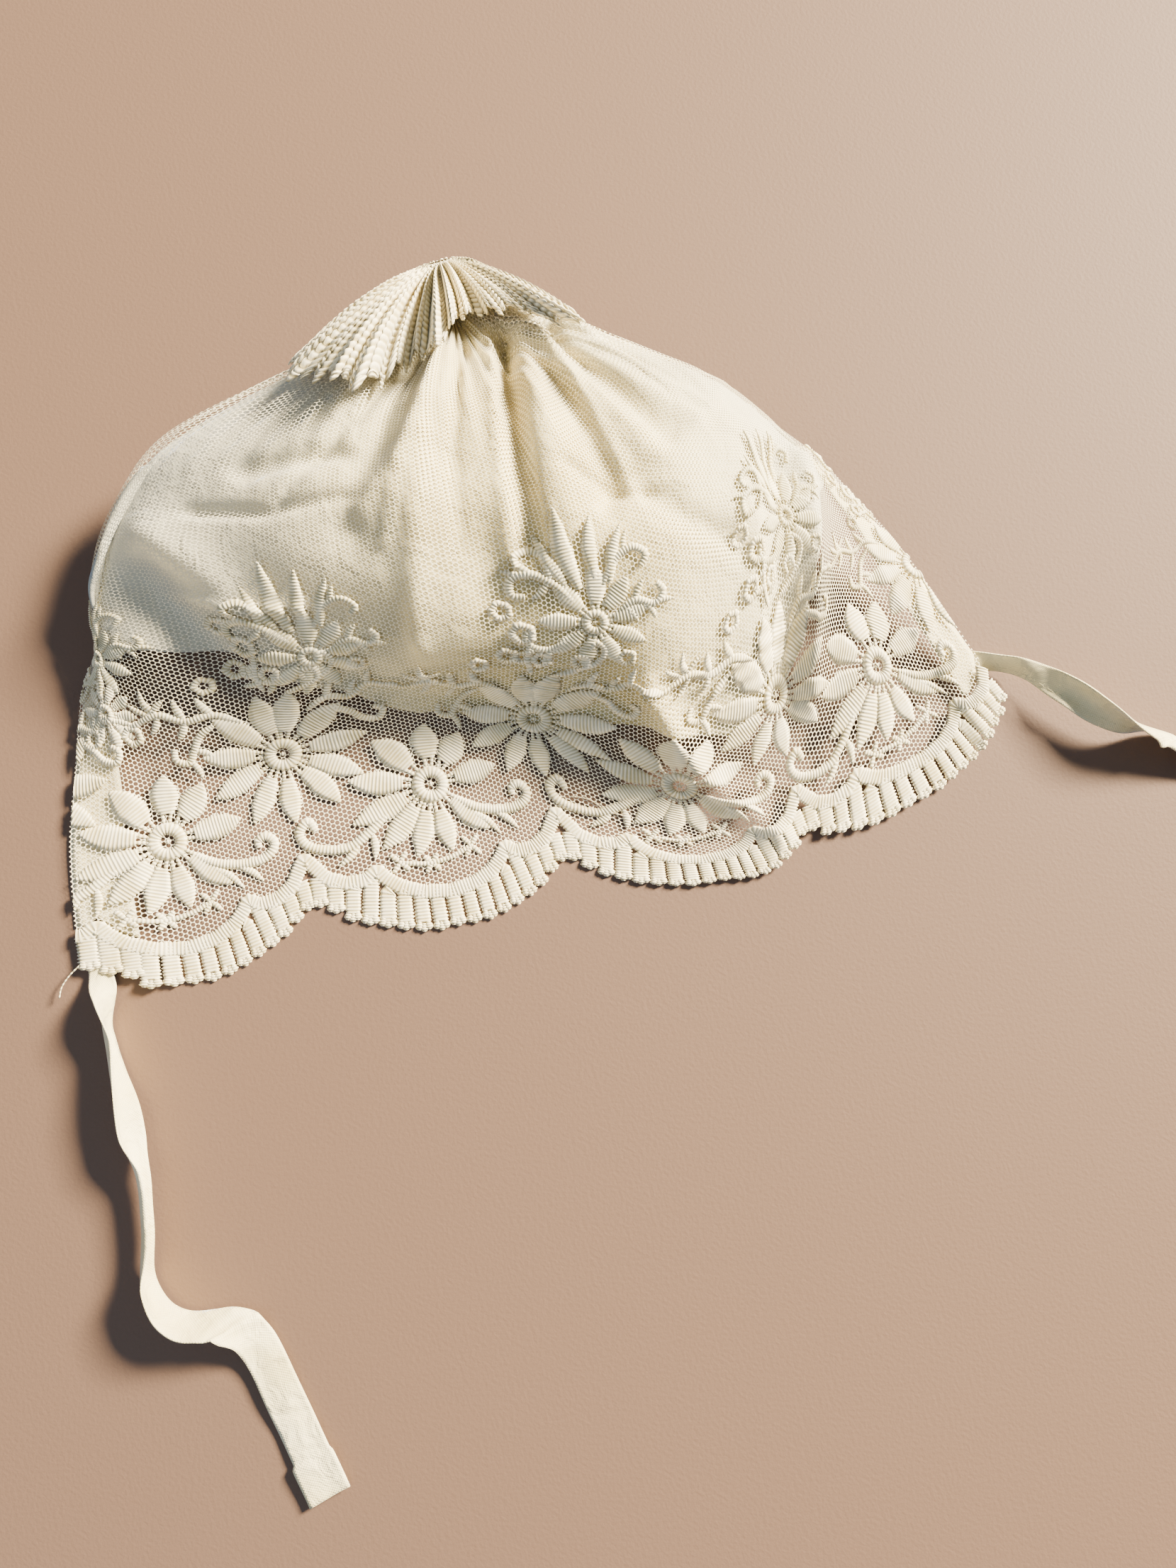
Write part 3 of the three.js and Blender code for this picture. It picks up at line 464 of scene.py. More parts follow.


# Cotton lawn, plain woven and soft from washing: matt, slightly uneven and warm, with a painted highlight
# towards the two sides if asked for
def cottonLawn(name, light, deep, threads, roughness, sideHighlight=None):
    material, tree = newMaterial(name)
    flat = addNode(tree, "ShaderNodeUVMap", uv_map="flat").outputs["UV"]
    parts = addNode(tree, "ShaderNodeSeparateXYZ", {0: flat}).outputs
    waves = [reckon(tree, "SINE", reckon(tree, "MULTIPLY", part, 2 * math.pi / threads))
             for part in parts[:2]]
    weave = reckon(tree, "MULTIPLY", *waves)
    share = reckon(tree, "MULTIPLY_ADD", weave, 0.16, addNoise(tree, 45.0, 4.0))
    # Colour from random tone in the noise and from the weave, darker in its dips: a slight painted shade
    # between threads
    tint = blend(tree, spread(tree, share, 0.25, 0.7), colour(deep), colour(light))
    if sideHighlight:  # painted highlight: paler and cooler towards the two sides, standing in for the bluish sheen of the light there
        side = reckon(tree, "ABSOLUTE", reckon(tree, "ADD", parts[0], -sideHighlight["middle"]))
        highlit = spread(tree, side, sideHighlight["from"], sideHighlight["to"], sideHighlight["most"])
        tint = blend(tree, highlit, tint, colour(sideHighlight["tone"]))
    crumple = addNoise(tree, 130.0, 5.0, 0.8)
    creased = addNode(tree, "ShaderNodeBump", {"Height": crumple, "Strength": 0.8, "Distance": 0.0018})
    bump = addNode(tree, "ShaderNodeBump", {
        "Height": weave, "Strength": 0.35, "Distance": 0.00012, "Normal": creased.outputs[0]})
    addSurface(tree, {
        "Base Color": tint, "Roughness": roughness, "Sheen Weight": 0.6, "Sheen Roughness": 0.35,
        "Sheen Tint": colour("#DCE8FF"), "Normal": bump.outputs[0]})
    return material


net = cottonNet()
satin = satinThread("satinThread", "#FFF5D2", "#C9B882")
# A darker, yellower copy of the same thread for the crown embroidery: painted shade and painted yellow bounce
# light from the lining
paintedShadeSatin = satinThread("satinThreadPaintedShade", "#FBF2CC", "#BFB07A")
# The lining lawn, with a painted bluish highlight mixed in towards its two sides
lawn = cottonLawn("liningLawn", "#E2D398", "#B8A564", 1.0, 0.75,
                  {"middle": 165, "from": 20, "to": 110, "tone": "#D6DAD4", "most": 0.6})
tapeCotton = cottonLawn("cottonTape", "#F6EBC0", "#DCCD96", 0.8, 0.65)
print("materials made")

# The camera as the photograph was taken, from above and a little in front of the face edge
view = {"place": (0.6, -36.4, 352), "turn": 16.36, "tilt": 8, "lens": 27.03, "sensor": 36}


def addCamera():
    turn, tilt = math.radians(view["turn"]), math.radians(view["tilt"])
    right = Vector((math.cos(turn), -math.sin(turn), 0))
    away = Vector((math.sin(turn), math.cos(turn), 0))
    forward = math.sin(tilt) * away + Vector((0, 0, -math.cos(tilt)))
    upward = right.cross(forward)
    data = bpy.data.cameras.new("camera")
    data.lens = view["lens"]
    data.sensor_width = view["sensor"]
    camera = bpy.data.objects.new("camera", data)
    turned = Matrix((right, upward, -forward)).transposed().to_4x4()
    camera.matrix_world = Matrix.Translation(Vector(view["place"]) * mm) @ turned
    bpy.context.scene.collection.objects.link(camera)
    bpy.context.scene.camera = camera


addCamera()


# A tape lies along its route: flat places are across the tape, along it and off its face
def tieForm(route):
    values = np.array(route, float)
    stops = np.concatenate([[0], np.cumsum(np.hypot(np.diff(values[:, 0]), np.diff(values[:, 1])))])

    def form(flat):
        at = splineShares(stops, flat[:, 1]) @ values
        across, roll = np.radians(at[:, 2]), np.radians(at[:, 3])
        width = np.stack([np.cos(across) * np.cos(roll), np.sin(across) * np.cos(roll), np.sin(roll)], 1)
        face = np.stack([-np.cos(across) * np.sin(roll), -np.sin(across) * np.sin(roll), np.cos(roll)], 1)
        half, wall = panel["tieWidth"] / 2, panel["tieWall"] / 2
        lift = np.maximum(at[:, 4], 0) * panel["crownHeight"]
        z = np.abs(width[:, 2]) * half + np.abs(face[:, 2]) * wall + lift
        place = np.stack([at[:, 0], at[:, 1], z + panel["tieLift"]], 1)
        place += width * flat[:, :1] + face * flat[:, 2:]
        place[:, 2] = np.maximum(place[:, 2], 0.02)
        return place

    return form, stops[-1]


# The ties, 11 mm cotton tape with a turned hem at the end and a running stitch near one edge
ties = {
    "wall": 0.45, "stitch": 2.1, "stitchPitch": 3.1, "stitchEdge": 2.9, "stitchFrom": 4, "stitchTo": 3,
    "ripple": 0.4, "pinch": 0.64, "pinchFrom": 9, "pinchOver": 26, "rimRise": 0.12,
    "cupRise": 1.7, "cupFrom": 18, "cupOver": 14, "cupTo": 120, "cupFade": 20, "cupBy": 0.16,
    "foldFrom": 58, "foldTo": 102, "foldFade": 12, "foldBy": 0.36, "foldCup": 0.7,
    "creaseRise": 1.5, "creaseWide": 1.2, "creaseSlant": 0.85,
    "hemBroad": 0.13, "hemRise": 0.6, "hemEdge": 0.6, "hemStitchIn": 1.8, "hemStitchPitch": 2.8,
}


# How the tape itself is folded: narrowed and cupped where it is twisted, doubled for a
# stretch, creased across at a bend and thick at the hem
def foldTape(bm, length, doubled, creaseAt):
    half = panel["tieWidth"] / 2
    for vert in bm.verts:
        x, y = vert.co.x, vert.co.y
        narrow = ties["pinch"] + (1 - ties["pinch"]) * smoothStep((y - ties["pinchFrom"]) / ties["pinchOver"])
        hem = smoothStep((y - length + panel["hemLength"]) / ties["hemEdge"])
        wave = math.sin(y / 5.1 + x / 3.3) * math.sin(y / 8.7 - x / 4.1)
        rim = (abs(x) / half) ** 6
        cup = smoothStep((y - ties["cupFrom"]) / ties["cupOver"])
        cup *= smoothStep((ties["cupTo"] - y) / ties["cupFade"])
        fade = ties["foldFade"]
        fold = doubled * smoothStep((y - ties["foldFrom"]) / fade) * smoothStep((ties["foldTo"] - y) / fade)
        crease = math.exp(-((y - creaseAt - ties["creaseSlant"] * x) / ties["creaseWide"]) ** 2)
        vert.co.x *= narrow * (1 + ties["hemBroad"] * hem) * (1 - ties["cupBy"] * cup - ties["foldBy"] * fold)
        bowl = ties["cupRise"] * (cup + ties["foldCup"] * fold) * (x / half) ** 2
        vert.co.z += bowl + ties["creaseRise"] * crease
        vert.co.z += ties["ripple"] * wave + ties["hemRise"] * hem + ties["rimRise"] * rim + ties["wall"] / 2


def addTie(name, node, route, side, doubled, creaseAt):
    form, length = tieForm(route)
    half = panel["tieWidth"] / 2
    bm = bmesh.new()
    addCloth(bm, (-half, 0), (half, length), 1.0, 0)
    foldTape(bm, length, doubled, creaseAt)
    tape = laid(name, bm, form, tapeCotton, ties["wall"], node)
    path = form(np.array([[0, y, 0] for y in np.linspace(0, length, 36)])) * mm
    stitches = bmesh.new()
    widths = [(0, 0.15), (0.2, 0.34), (0.8, 0.34), (1, 0.15)]
    edge = side * ties["stitchEdge"]
    at = length - panel["hemLength"] + ties["hemStitchIn"]
    runs = [[(edge, y), (edge + 0.1, y + ties["stitch"])]
            for y in np.arange(ties["stitchFrom"], length - ties["stitchTo"], ties["stitchPitch"])]
    runs += [[(across - 0.9, at), (across + 0.9, at + 0.1)]
             for across in np.arange(-4.2, 4.3, ties["hemStitchPitch"])]
    for run in runs:
        addStroke(stitches, run, widths, 0.6, 0.4, 2, ridge=0, lift=0.1)
    foldTape(stitches, length, doubled, creaseAt)
    laid(name + "_stitches", stitches, form, tapeCotton)


addTie("left_tape_tie", "tie_left", leftRoute, -1, 1, 131)
addTie("right_tape_tie", "tie_right", rightRoute, 1, 0, 64)
print("ties laid")


# Height of the border's band above the scallops' lowest line
def bandTop(u):
    scallop = np.clip(np.floor(u / panel["repeatLength"]), 0, panel["repeatCount"] - 1)
    place = np.abs(u - (scallop + 0.5) * panel["repeatLength"]) / halfRepeat
    ats, rises = zip(*bandLine)
    return np.interp(place, ats, rises) * panel["borderPeak"]


def bandTopAt(u):
    return float(bandTop(np.array([u]))[0])


# One line across the border at a place from -1 to 1 over a scallop: a bar's end and its root
def borderLine(scallop, place):
    middle = (scallop + 0.5) * panel["repeatLength"]
    angle = place * math.asin(halfRepeat / scallopRadius)
    out = scallopRadius * math.sin(angle)
    low = scallopRadius * (1 - math.cos(angle))
    barLength = panel["barLong"] + (panel["barShort"] - panel["barLong"]) * place ** 2
    lean = math.copysign(panel["barLean"] * math.sin(math.pi * abs(place) ** 1.3), place)
    end, root = (middle + out, low), (middle + out - 0.7 * lean, low + barLength)
    return np.array(end), np.array(root), middle + out - lean


# The net panel, one sheet from under the border up to the gathers
netSheet = {"pitch": 1.7, "underBand": 1.2, "turnIn": 11}


def addNet():
    bm = bmesh.new()
    low = (panel["seamTrim"], 0)
    addCloth(bm, low, (panelEnd, panel["height"] + netSheet["turnIn"]), netSheet["pitch"], 0,
             lambda u: bandTopAt(u) - netSheet["underBand"])
    return laid("net_panel", bm, clothPoint, net, node="net_shell")


netPiece = addNet()

# The lining under the crown, of thin lawn, lying just under the net, with an uneven front edge
lawnSheet = {"pitch": 2.2, "inset": 16, "under": 1.1, "wall": 0.5, "top": 1.04, "standOff": 2.2,
             "offAcross": 125, "offAcrossOver": 60, "offUp": 105, "offUpOver": 40,
             "dip": 6, "dipAt": 95, "dipWide": 30, "waver": 1.6}


# The lining's front edge
def liningLow(u):
    acrosses, ups = zip(*liningEdge)
    edge = float(np.interp(u / panelEnd, acrosses, ups)) * panel["height"]
    dip = lawnSheet["dip"] * math.exp(-((u - lawnSheet["dipAt"]) / lawnSheet["dipWide"]) ** 2)
    return edge - dip + lawnSheet["waver"] * math.sin(u / 6.1) * math.sin(u / 15.7)


def addLining():
    bm = bmesh.new()
    low = (panel["seamTrim"] + lawnSheet["inset"], 0)
    high = (panelEnd - lawnSheet["inset"], panel["height"] * lawnSheet["top"])
    addCloth(bm, low, high, lawnSheet["pitch"], -lawnSheet["under"], liningLow)
    for vert in bm.verts:  # at the upper left the net stands off it
        left = smoothStep((lawnSheet["offAcross"] - vert.co.x) / lawnSheet["offAcrossOver"])
        upper = smoothStep((vert.co.y - lawnSheet["offUp"]) / lawnSheet["offUpOver"])
        vert.co.z -= lawnSheet["standOff"] * left * upper
    return laid("crown_lining", bm, clothPoint, lawn, lawnSheet["wall"], "lining")


liningPiece = addLining()

# Tapes bound inside the two neck edges
neckTapes = {"pitch": 1.8, "under": 1.1, "wall": 0.5, "reach": 0.8}


def addNeckTape(name, node, low, high):
    bm = bmesh.new()
    top = panel["borderPeak"] + neckTapes["reach"] * (panel["height"] - panel["borderPeak"])
    addCloth(bm, (low, 0), (high, top), neckTapes["pitch"], -neckTapes["under"], lambda u: bandTopAt(u) + 0.7)
    return laid(name, bm, clothPoint, tapeCotton, neckTapes["wall"], node)


leftTape = addNeckTape(
    "left_neck_tape", "neck_tape_left", panel["seamTrim"], panel["seamTrim"] + panel["tapeWidth"])
rightTape = addNeckTape(
    "right_neck_tape", "neck_tape_right", panelEnd - panel["tapeWidth"], panelEnd)
print("cloth laid")

# The embroidery of one repeat, drawn flat. Lengths in millimetres, angles in degrees.
# A lies over each scallop's middle and B over each cusp; what follows is placed from them.
flowers = {
    "aHeight": 42.5, "bHeight": 61.5, "cAcross": 16.5, "cHeight": 105,
    "eyeRing": 3.9, "eyeHalf": 1.75, "eyeDot": 0.8, "stemBroad": 1.25,
    "spokeFrom": 5.2, "spokeTo": 10, "petalFrom": 8.4, "puff": 0.3, "broad": 1.32,
}
petalsOfA = [(84, 20, 3.4), (49, 20, 3.3), (6, 23, 2.9), (-45, 23, 2.7), (-82, 21, 2.6),
             (-111, 22, 2.5), (-136, 23.5, 2.6), (-163, 25, 2.7), (165, 23.5, 2.9), (130, 22, 3.3)]
petalsOfB = [(77, 24, 3.2), (39, 24, 3.1), (4, 24.5, 2.8), (-29, 24, 2.6), (-55, 23, 2.6), (-90, 22, 2.5),
             (-123, 23, 2.6), (-157, 24.5, 2.7), (171, 24, 2.8), (138, 24, 3.0), (102, 23, 3.2)]
petalsOfC = [(86, 19, 2.6), (48, 18, 2.4), (10, 18, 2.3), (-28, 18, 2.2), (-66, 17.5, 2.1),
             (-104, 17.5, 2.1), (-142, 18, 2.2), (176, 18, 2.3), (132, 18, 2.4)]
stemsOfA = [  # points from A, half width
    ([(-13.9, -6.5), (-19.9, -10.5), (-25.6, -13.4), (-31.4, -13.1),
      (-37.4, -10.2), (-38.9, -6.1), (-35.7, -3.3), (-34.1, -6.6)], 1.15),
    ([(7.4, -5.7), (12.6, -9.2), (19.2, -11.1), (25.4, -11.4),
      (29.6, -10), (31.4, -7.1), (29.3, -4.7), (26.5, -5.6), (26.5, -7.6)], 1.15),
    ([(-13.1, -21.1), (-8.6, -22.6), (-4.1, -23.2), (2.4, -22.4), (8.9, -20.2)], 0.6),
]
leavesOfA = [  # from, to, half width
    ((-23, -13.2), (-29.8, -18.5), 1.2), ((-18.9, -11), (-19.7, -18.9), 1.2),
    ((19.1, -11.6), (25.9, -17.8), 1.2), ((11.7, -10.5), (19.6, -18.6), 1.2),
    ((5, 38.5), (4.2, 47.5), 1.0), ((5, 38.5), (-1.4, 43), 1.0), ((5, 38.5), (10.4, 43.4), 1.0),
]
starsOfA = [(-13.1, -21.1, 3.6), (-4.1, -23.2, 3.3), (8.9, -20.2, 3.9)]
stemsOfB = [
    ([(-10, 14), (-17, 17.5), (-25, 16.5), (-32, 19.5), (-38, 18)], 0.9),
    ([(-18, 14), (-22.5, 11), (-25.5, 6.5), (-28, 3), (-31.5, 4.5), (-31, 8)], 0.9),
    ([(9, 15), (15, 18.5), (21.5, 17), (27, 20.5), (32, 19)], 0.9),
    ([(16, 14.5), (21, 11), (24.5, 7.5), (28.5, 6.5), (30.2, 9.8), (27.6, 11.6)], 0.9),
    ([(-2, 24), (-3.5, 30), (-2.8, 37)], 0.8),
    ([(-3.2, 30), (-6.5, 29.4), (-8.3, 31.8)], 0.7), ([(-1.6, 27), (1.2, 27.4), (1.7, 30.4)], 0.7),
    ([(4, 23), (9, 24.5), (14.1, 27.4), (13.2, 31.5), (10, 30.5), (10.6, 27.6)], 0.85),
    ([(12, 25.6), (17, 29), (19, 33.4), (16.6, 36.6), (14.4, 34.2)], 0.8),
]
leavesOfB = [
    ((-17, 17.5), (-20.5, 24), 1.3), ((-25, 16.5), (-29, 10.5), 1.2), ((-25, 16.8), (-26.5, 24.2), 1.3),
    ((-32, 19.5), (-35.5, 25.5), 1.2), ((-32, 19.3), (-36, 13.5), 1.1), ((-37, 18.2), (-43, 17), 1.2),
    ((-25.5, 6.8), (-19.5, 3.5), 1.1), ((-27.4, 3.8), (-25.2, -2.8), 1.1),
    ((15, 18.5), (17.5, 24.8), 1.2), ((21.5, 17), (24, 23.4), 1.2), ((27, 20.4), (28.5, 26.4), 1.2),
    ((31.4, 19.2), (37.2, 17.4), 1.2),
]
stemsOfC = [
    ([(-6, 7), (-12, 13), (-19, 16.5), (-24.5, 14.5), (-24.8, 9.8), (-21, 9.2)], 1.1),
    ([(-8, 13), (-11.5, 19.5), (-17, 23.5), (-22, 22), (-21.5, 18.6)], 1.0),
    ([(8, 3), (14, 5.5), (20, 3), (23.5, 6), (21.6, 9)], 1.0),
    ([(4, 12), (9, 19), (15.5, 21.5), (19.5, 18.4), (17, 15.4)], 1.0),
    ([(-9, -6), (-15, -9.5), (-20.5, -8), (-22, -3.6), (-18.8, -2.4)], 0.95),
]
leavesOfC = [
    ((-4, 11), (-7.5, 37), 3.2), ((1.5, 14), (3.5, 33), 2.5), ((6, 12), (13, 29), 2.1),
    ((-8, 12), (-15.5, 29), 1.9), ((-12, 13), (-13, 20.5), 1.3), ((-17, 15.6), (-22.5, 21), 1.3),
    ((-13, 13.5), (-19, 8.4), 1.3), ((-18, 16), (-27.5, 18), 1.2), ((13, 5.4), (17.5, 11.5), 1.3),
    ((16, 5), (20, -1.5), 1.3), ((19, 3.4), (27, 2.4), 1.2), ((10, 4), (14, -1.5), 1.2),
    ((-14, -9), (-17, -15), 1.3), ((-18, -9), (-25, -11.4), 1.2), ((12, 20.5), (14.5, 27), 1.1),
]
budsOfB = [(-4.8, 40.5, 3.9), (-9.3, 31.8, 3.4), (0.7, 30.4, 3.2),
           (25.5, 30.5, 2.9), (-17.5, 27.5, 3.0), (-10, 48, 3.2)]
leafShape = [(0, 0.35), (0.2, 0.75), (0.45, 1.0), (0.75, 0.7), (1, 0.1)]
petalShape = [(0, 0.5), (0.12, 0.72), (0.42, 1.0), (0.66, 0.84), (0.86, 0.44), (1, 0.06)]


def towards(angle):
    return np.array([math.cos(angle), math.sin(angle)])


def addDaisy(bm, centre, petals, size=1.0):
    centre = np.array(centre)
    for angle, length, half in petals:
        way = towards(math.radians(angle))
        turn = np.array([-way[1], way[0]])
        start, end = flowers["petalFrom"] * size, length
        bow = 0.5 * math.sin(angle)
        points = [centre + way * (start + (end - start) * t) + turn * bow * math.sin(math.pi * t)
                  for t in (0, 0.35, 0.7, 1)]
        addStroke(bm, points, [(t, w * half * flowers["broad"]) for t, w in petalShape], flowers["puff"])
        for side in (-1, 1):
            first = centre + way * flowers["spokeFrom"] * size + turn * side * 0.75 * size
            last = centre + way * flowers["spokeTo"] * size + turn * side * 0.46 * half
            addStroke(bm, [first, last], [(0, 0.46), (1, 0.62)], 0.4, 0.55, 3)
    ring = flowers["eyeRing"] * size
    around = [centre + ring * towards(a) for a in np.arange(8) * math.pi / 4]
    half = flowers["eyeHalf"] * size
    addStroke(bm, around, [(0, half), (1, half)], 0.85, 0.55, 5, closed=True)
    dot = flowers["eyeDot"] * size
    addStroke(bm, [centre - [dot, 0], centre + [dot, 0]], [(0, 0.3), (0.5, dot), (1, 0.3)], 0.6, 0.4, 3)


def addStem(bm, points, half):
    half *= flowers["stemBroad"]
    addStroke(bm, points, [(0, half * 0.5), (0.14, half), (0.87, half), (1, half * 0.75)], 0.65)


def addLeaf(bm, start, end, half):
    start, end = np.array(start, float), np.array(end, float)
    turn = np.array([start[1] - end[1], end[0] - start[0]]) * 0.06
    addStroke(bm, [start, (start + end) / 2 + turn, end], [(t, w * half) for t, w in leafShape], 0.6)


def addBud(bm, centre, size):
    centre = np.array(centre)
    around = [centre + size * (0.68 + 0.1 * (k % 2)) * towards(a)
              for k, a in enumerate(np.arange(10) * math.pi / 5)]
    widths = [(k / 10, size * (0.34 if k % 2 else 0.26)) for k in range(11)]
    addStroke(bm, around, widths, 0.7, 0.5, 4, closed=True)


# Where a repeat's upper cluster lies off its usual place: across, up and size
clusterShifts = {0: (14, -3, 0.8), 1: (-3, -8, 0.85)}


def addCluster(bm, k):
    across, up, size = clusterShifts.get(k, (0, 0, 0.93))
    upper = np.array([k * panel["repeatLength"] + flowers["cAcross"] + across, flowers["cHeight"] + up])
    petals = [(angle, length * size, half * size) for angle, length, half in petalsOfC]
    addDaisy(bm, upper, petals, 0.75 * size)
    for points, half in stemsOfC:
        addStem(bm, upper + size * np.array(points), half * size)
    for start, end, half in leavesOfC:
        addLeaf(bm, upper + size * np.array(start), upper + size * np.array(end), half * size)


# A over one scallop and B over the cusp at its left, with the stems and leaves around them
def addSpray(bm, k):
    cusp = np.array([k * panel["repeatLength"], flowers["bHeight"]])
    addDaisy(bm, cusp, petalsOfB)
    for points, half in stemsOfB:
        addStem(bm, cusp + np.array(points), half)
    for start, end, half in leavesOfB:
        addLeaf(bm, cusp + start, cusp + end, half)
    for across, up, size in budsOfB:
        addBud(bm, cusp + [across, up], size)
    if k == panel["repeatCount"]:
        return
    middle = np.array([(k + 0.5) * panel["repeatLength"], flowers["aHeight"]])
    addDaisy(bm, middle, petalsOfA)
    for points, half in stemsOfA:
        addStem(bm, middle + np.array(points), half)
    for start, end, half in leavesOfA:
        addLeaf(bm, middle + start, middle + end, half)
    for across, up, arm in starsOfA:
        for angle in (50, 130, 230, 310):
            start = middle + [across, up]
            end = start + towards(math.radians(angle)) * arm
            addStroke(bm, [start, end], [(0, 0.5), (0.6, 0.85), (1, 0.5)], 0.55)


# The small half flower at the left seam, with a ring bud at each side
seamFlower = {
    "place": (28.5, 83.0), "petal": (11.5, 1.5), "size": 0.6, "buds": [(-7, -7, 3.4), (7.5, -7.5, 3.4)],
    "angles": (95, 60, 25, -10, -45, -80, 130, 165, 200, 235),
}


def addSeamFlower(bm):
    centre = np.array(seamFlower["place"])
    petals = [(angle, *seamFlower["petal"]) for angle in seamFlower["angles"]]
    addDaisy(bm, centre, petals, seamFlower["size"])
    for across, up, size in seamFlower["buds"]:
        addBud(bm, centre + [across, up], size)


def addEmbroidery(name, addMotif, material):
    bm = bmesh.new()
    for k in range(panel["repeatCount"] + 1):
        addMotif(bm, k)
    if addMotif is addSpray:
        addSeamFlower(bm)
    trimSeams(bm)
    return laid(name, bm, clothPoint, material, 0.3)


brimEmbroidery = addEmbroidery("brim_embroidery", addSpray, satin)
crownEmbroidery = addEmbroidery("crown_embroidery", addCluster, paintedShadeSatin)

# The scalloped edge: short bars with three picots at each end under a zigzag satin band
edging = {"bandHalf": 2.1, "bandPuff": 0.25, "barPuff": 0.3, "barBroad": 1.06, "picot": 1.22, "reach": 0.8,
          "eyelet": 2.2, "uneven": 0.05, "blockBars": 3, "blockWidth": 11, "blockSlope": 0.42}
looseThreads = [  # places, half width at the end, lift
    ([(14.6, 10), (11.6, 7), (9.4, 3.6), (8.6, 0.4)], 0.12, 0.3),
    ([(162, 33.5), (167, 33), (171.5, 29.6), (176, 28.6)], 0.14, 0.5),
]


def addBar(bm, top, root, end, halves):
    top, root, end = np.array(top), np.array(root), np.array(end)
    length = np.linalg.norm(end - root) + np.linalg.norm(root - top)
    rootShare = np.linalg.norm(root - top) / length
    way = (end - root) / np.linalg.norm(end - root)
    turn = np.array([-way[1], way[0]])
    body = end - way * 1.6
    uneven = 1 + edging["uneven"] * math.sin(3.7 * end[0])
    halves = [half * edging["barBroad"] * uneven for half in halves]
    end = end + way * 0.35 * math.sin(5.3 * end[0])
    widths = [(0, halves[0]), (rootShare, halves[1]), (0.93, halves[2]), (1, halves[2] * 0.8)]
    addStroke(bm, [top, root, body], widths, edging["barPuff"], 0.5, 5, ridge=0.2)
    picot = edging["picot"]
    for side, back in ((-1, 0.55), (0, 0), (1, 0.55)):
        tip = end + way * (edging["reach"] - back) + turn * side * halves[2] * 0.66
        addStroke(bm, [tip - way * 2.4 - turn * side * 0.25, tip],
                  [(0, 0.6), (0.5, picot), (0.82, picot * 0.9), (1, 0.4)], 0.8, 0.42, 3)


def addEdging():
    bm = bmesh.new()
    stations = np.arange(panel["seamTrim"] + 0.2, panelEnd - 0.1, 1.3)
    band = np.stack([stations, bandTop(stations) - edging["bandHalf"]], 1)
    half = edging["bandHalf"]
    addStroke(bm, band, [(0, half), (1, half)], edging["bandPuff"], 0.5, 6, ridge=0.2, lift=0.3)
    blockEnd = panel["seamTrim"] + edging["blockWidth"]
    firstBar = 1e9
    share = 2 / panel["bars"]
    gap = panel["barGap"] / (2 * halfRepeat)
    for scallop in range(panel["repeatCount"]):
        for bar in range(panel["bars"]):
            left = -1 + bar * share + gap
            right = -1 + (bar + 1) * share - gap
            lines = [borderLine(scallop, place) for place in (left, (left + right) / 2, right)]
            if lines[0][1][0] < blockEnd + panel["barGap"]:
                continue
            end, root, topAcross = lines[1]
            nearCusp = abs(left + right) / 2 > 0.9
            bump = abs(abs(left + right) / 2 - 0.51) < 0.06
            topHeight = bandTopAt(topAcross) - 2 * edging["bandHalf"] + 0.9
            if nearCusp or bump:
                topHeight -= edging["eyelet"]
            top = np.array([topAcross, max(topHeight, root[1] + 0.6)])
            halves = [abs(lines[2][2] - lines[0][2]) / 2, np.linalg.norm(lines[2][1] - lines[0][1]) / 2,
                      np.linalg.norm(lines[2][0] - lines[0][0]) / 2]
            addBar(bm, top, root, end, halves)
            firstBar = min(firstBar, lines[0][1][0])
    blockLow = borderLine(0, (blockEnd - halfRepeat) / halfRepeat)[0][1] + 0.8
    width = (firstBar - panel["seamTrim"]) / edging["blockBars"]
    for bar in range(edging["blockBars"]):
        across = panel["seamTrim"] + (bar + 0.5) * width
        low = blockLow + edging["blockSlope"] * (firstBar - across)
        half = 0.5 * width
        addBar(bm, (across, bandTopAt(across) - 3), (across, low + 7), (across, low), [half, half, half])
    trimSeams(bm, panel["seamTrim"] - 1, panelEnd + 0.6)
    for thread, tail, lift in looseThreads:
        addStroke(bm, thread, [(0, 0.16), (1, tail)], 0.2, 0.6, 2, ridge=0, lift=lift)
    return laid("scalloped_edging", bm, clothPoint, satin, 0.4, "face_border")


edgingPiece = addEdging()
print("embroidery sewn")

# The rosette: a strip of the same edging gathered round into a ruffle over the gathers.
# Its flat places are along the strip, up from the gathered middle to the picots, and off it.
ruffle = {"stripWidth": 34, "hole": 0.3, "slit": 3.5, "middle": 0.104, "setBack": 7, "wall": 1.5,
          "clearance": 0.3, "peak": 0.9, "margin": 12, "beyond": 30, "sample": 0.8, "crownFrom": 0.6,
          "puff": 4.6, "backPuff": 0.2, "lobes": 26, "lobeRise": 2.6, "lobesAt": 0.25, "lobesWide": 0.12,
          "waves": 6, "waveRise": 0.9, "ribs": 88, "ribsFrom": 0.06, "swirl": 7, "ragged": 0.05, "cell": 1.0}


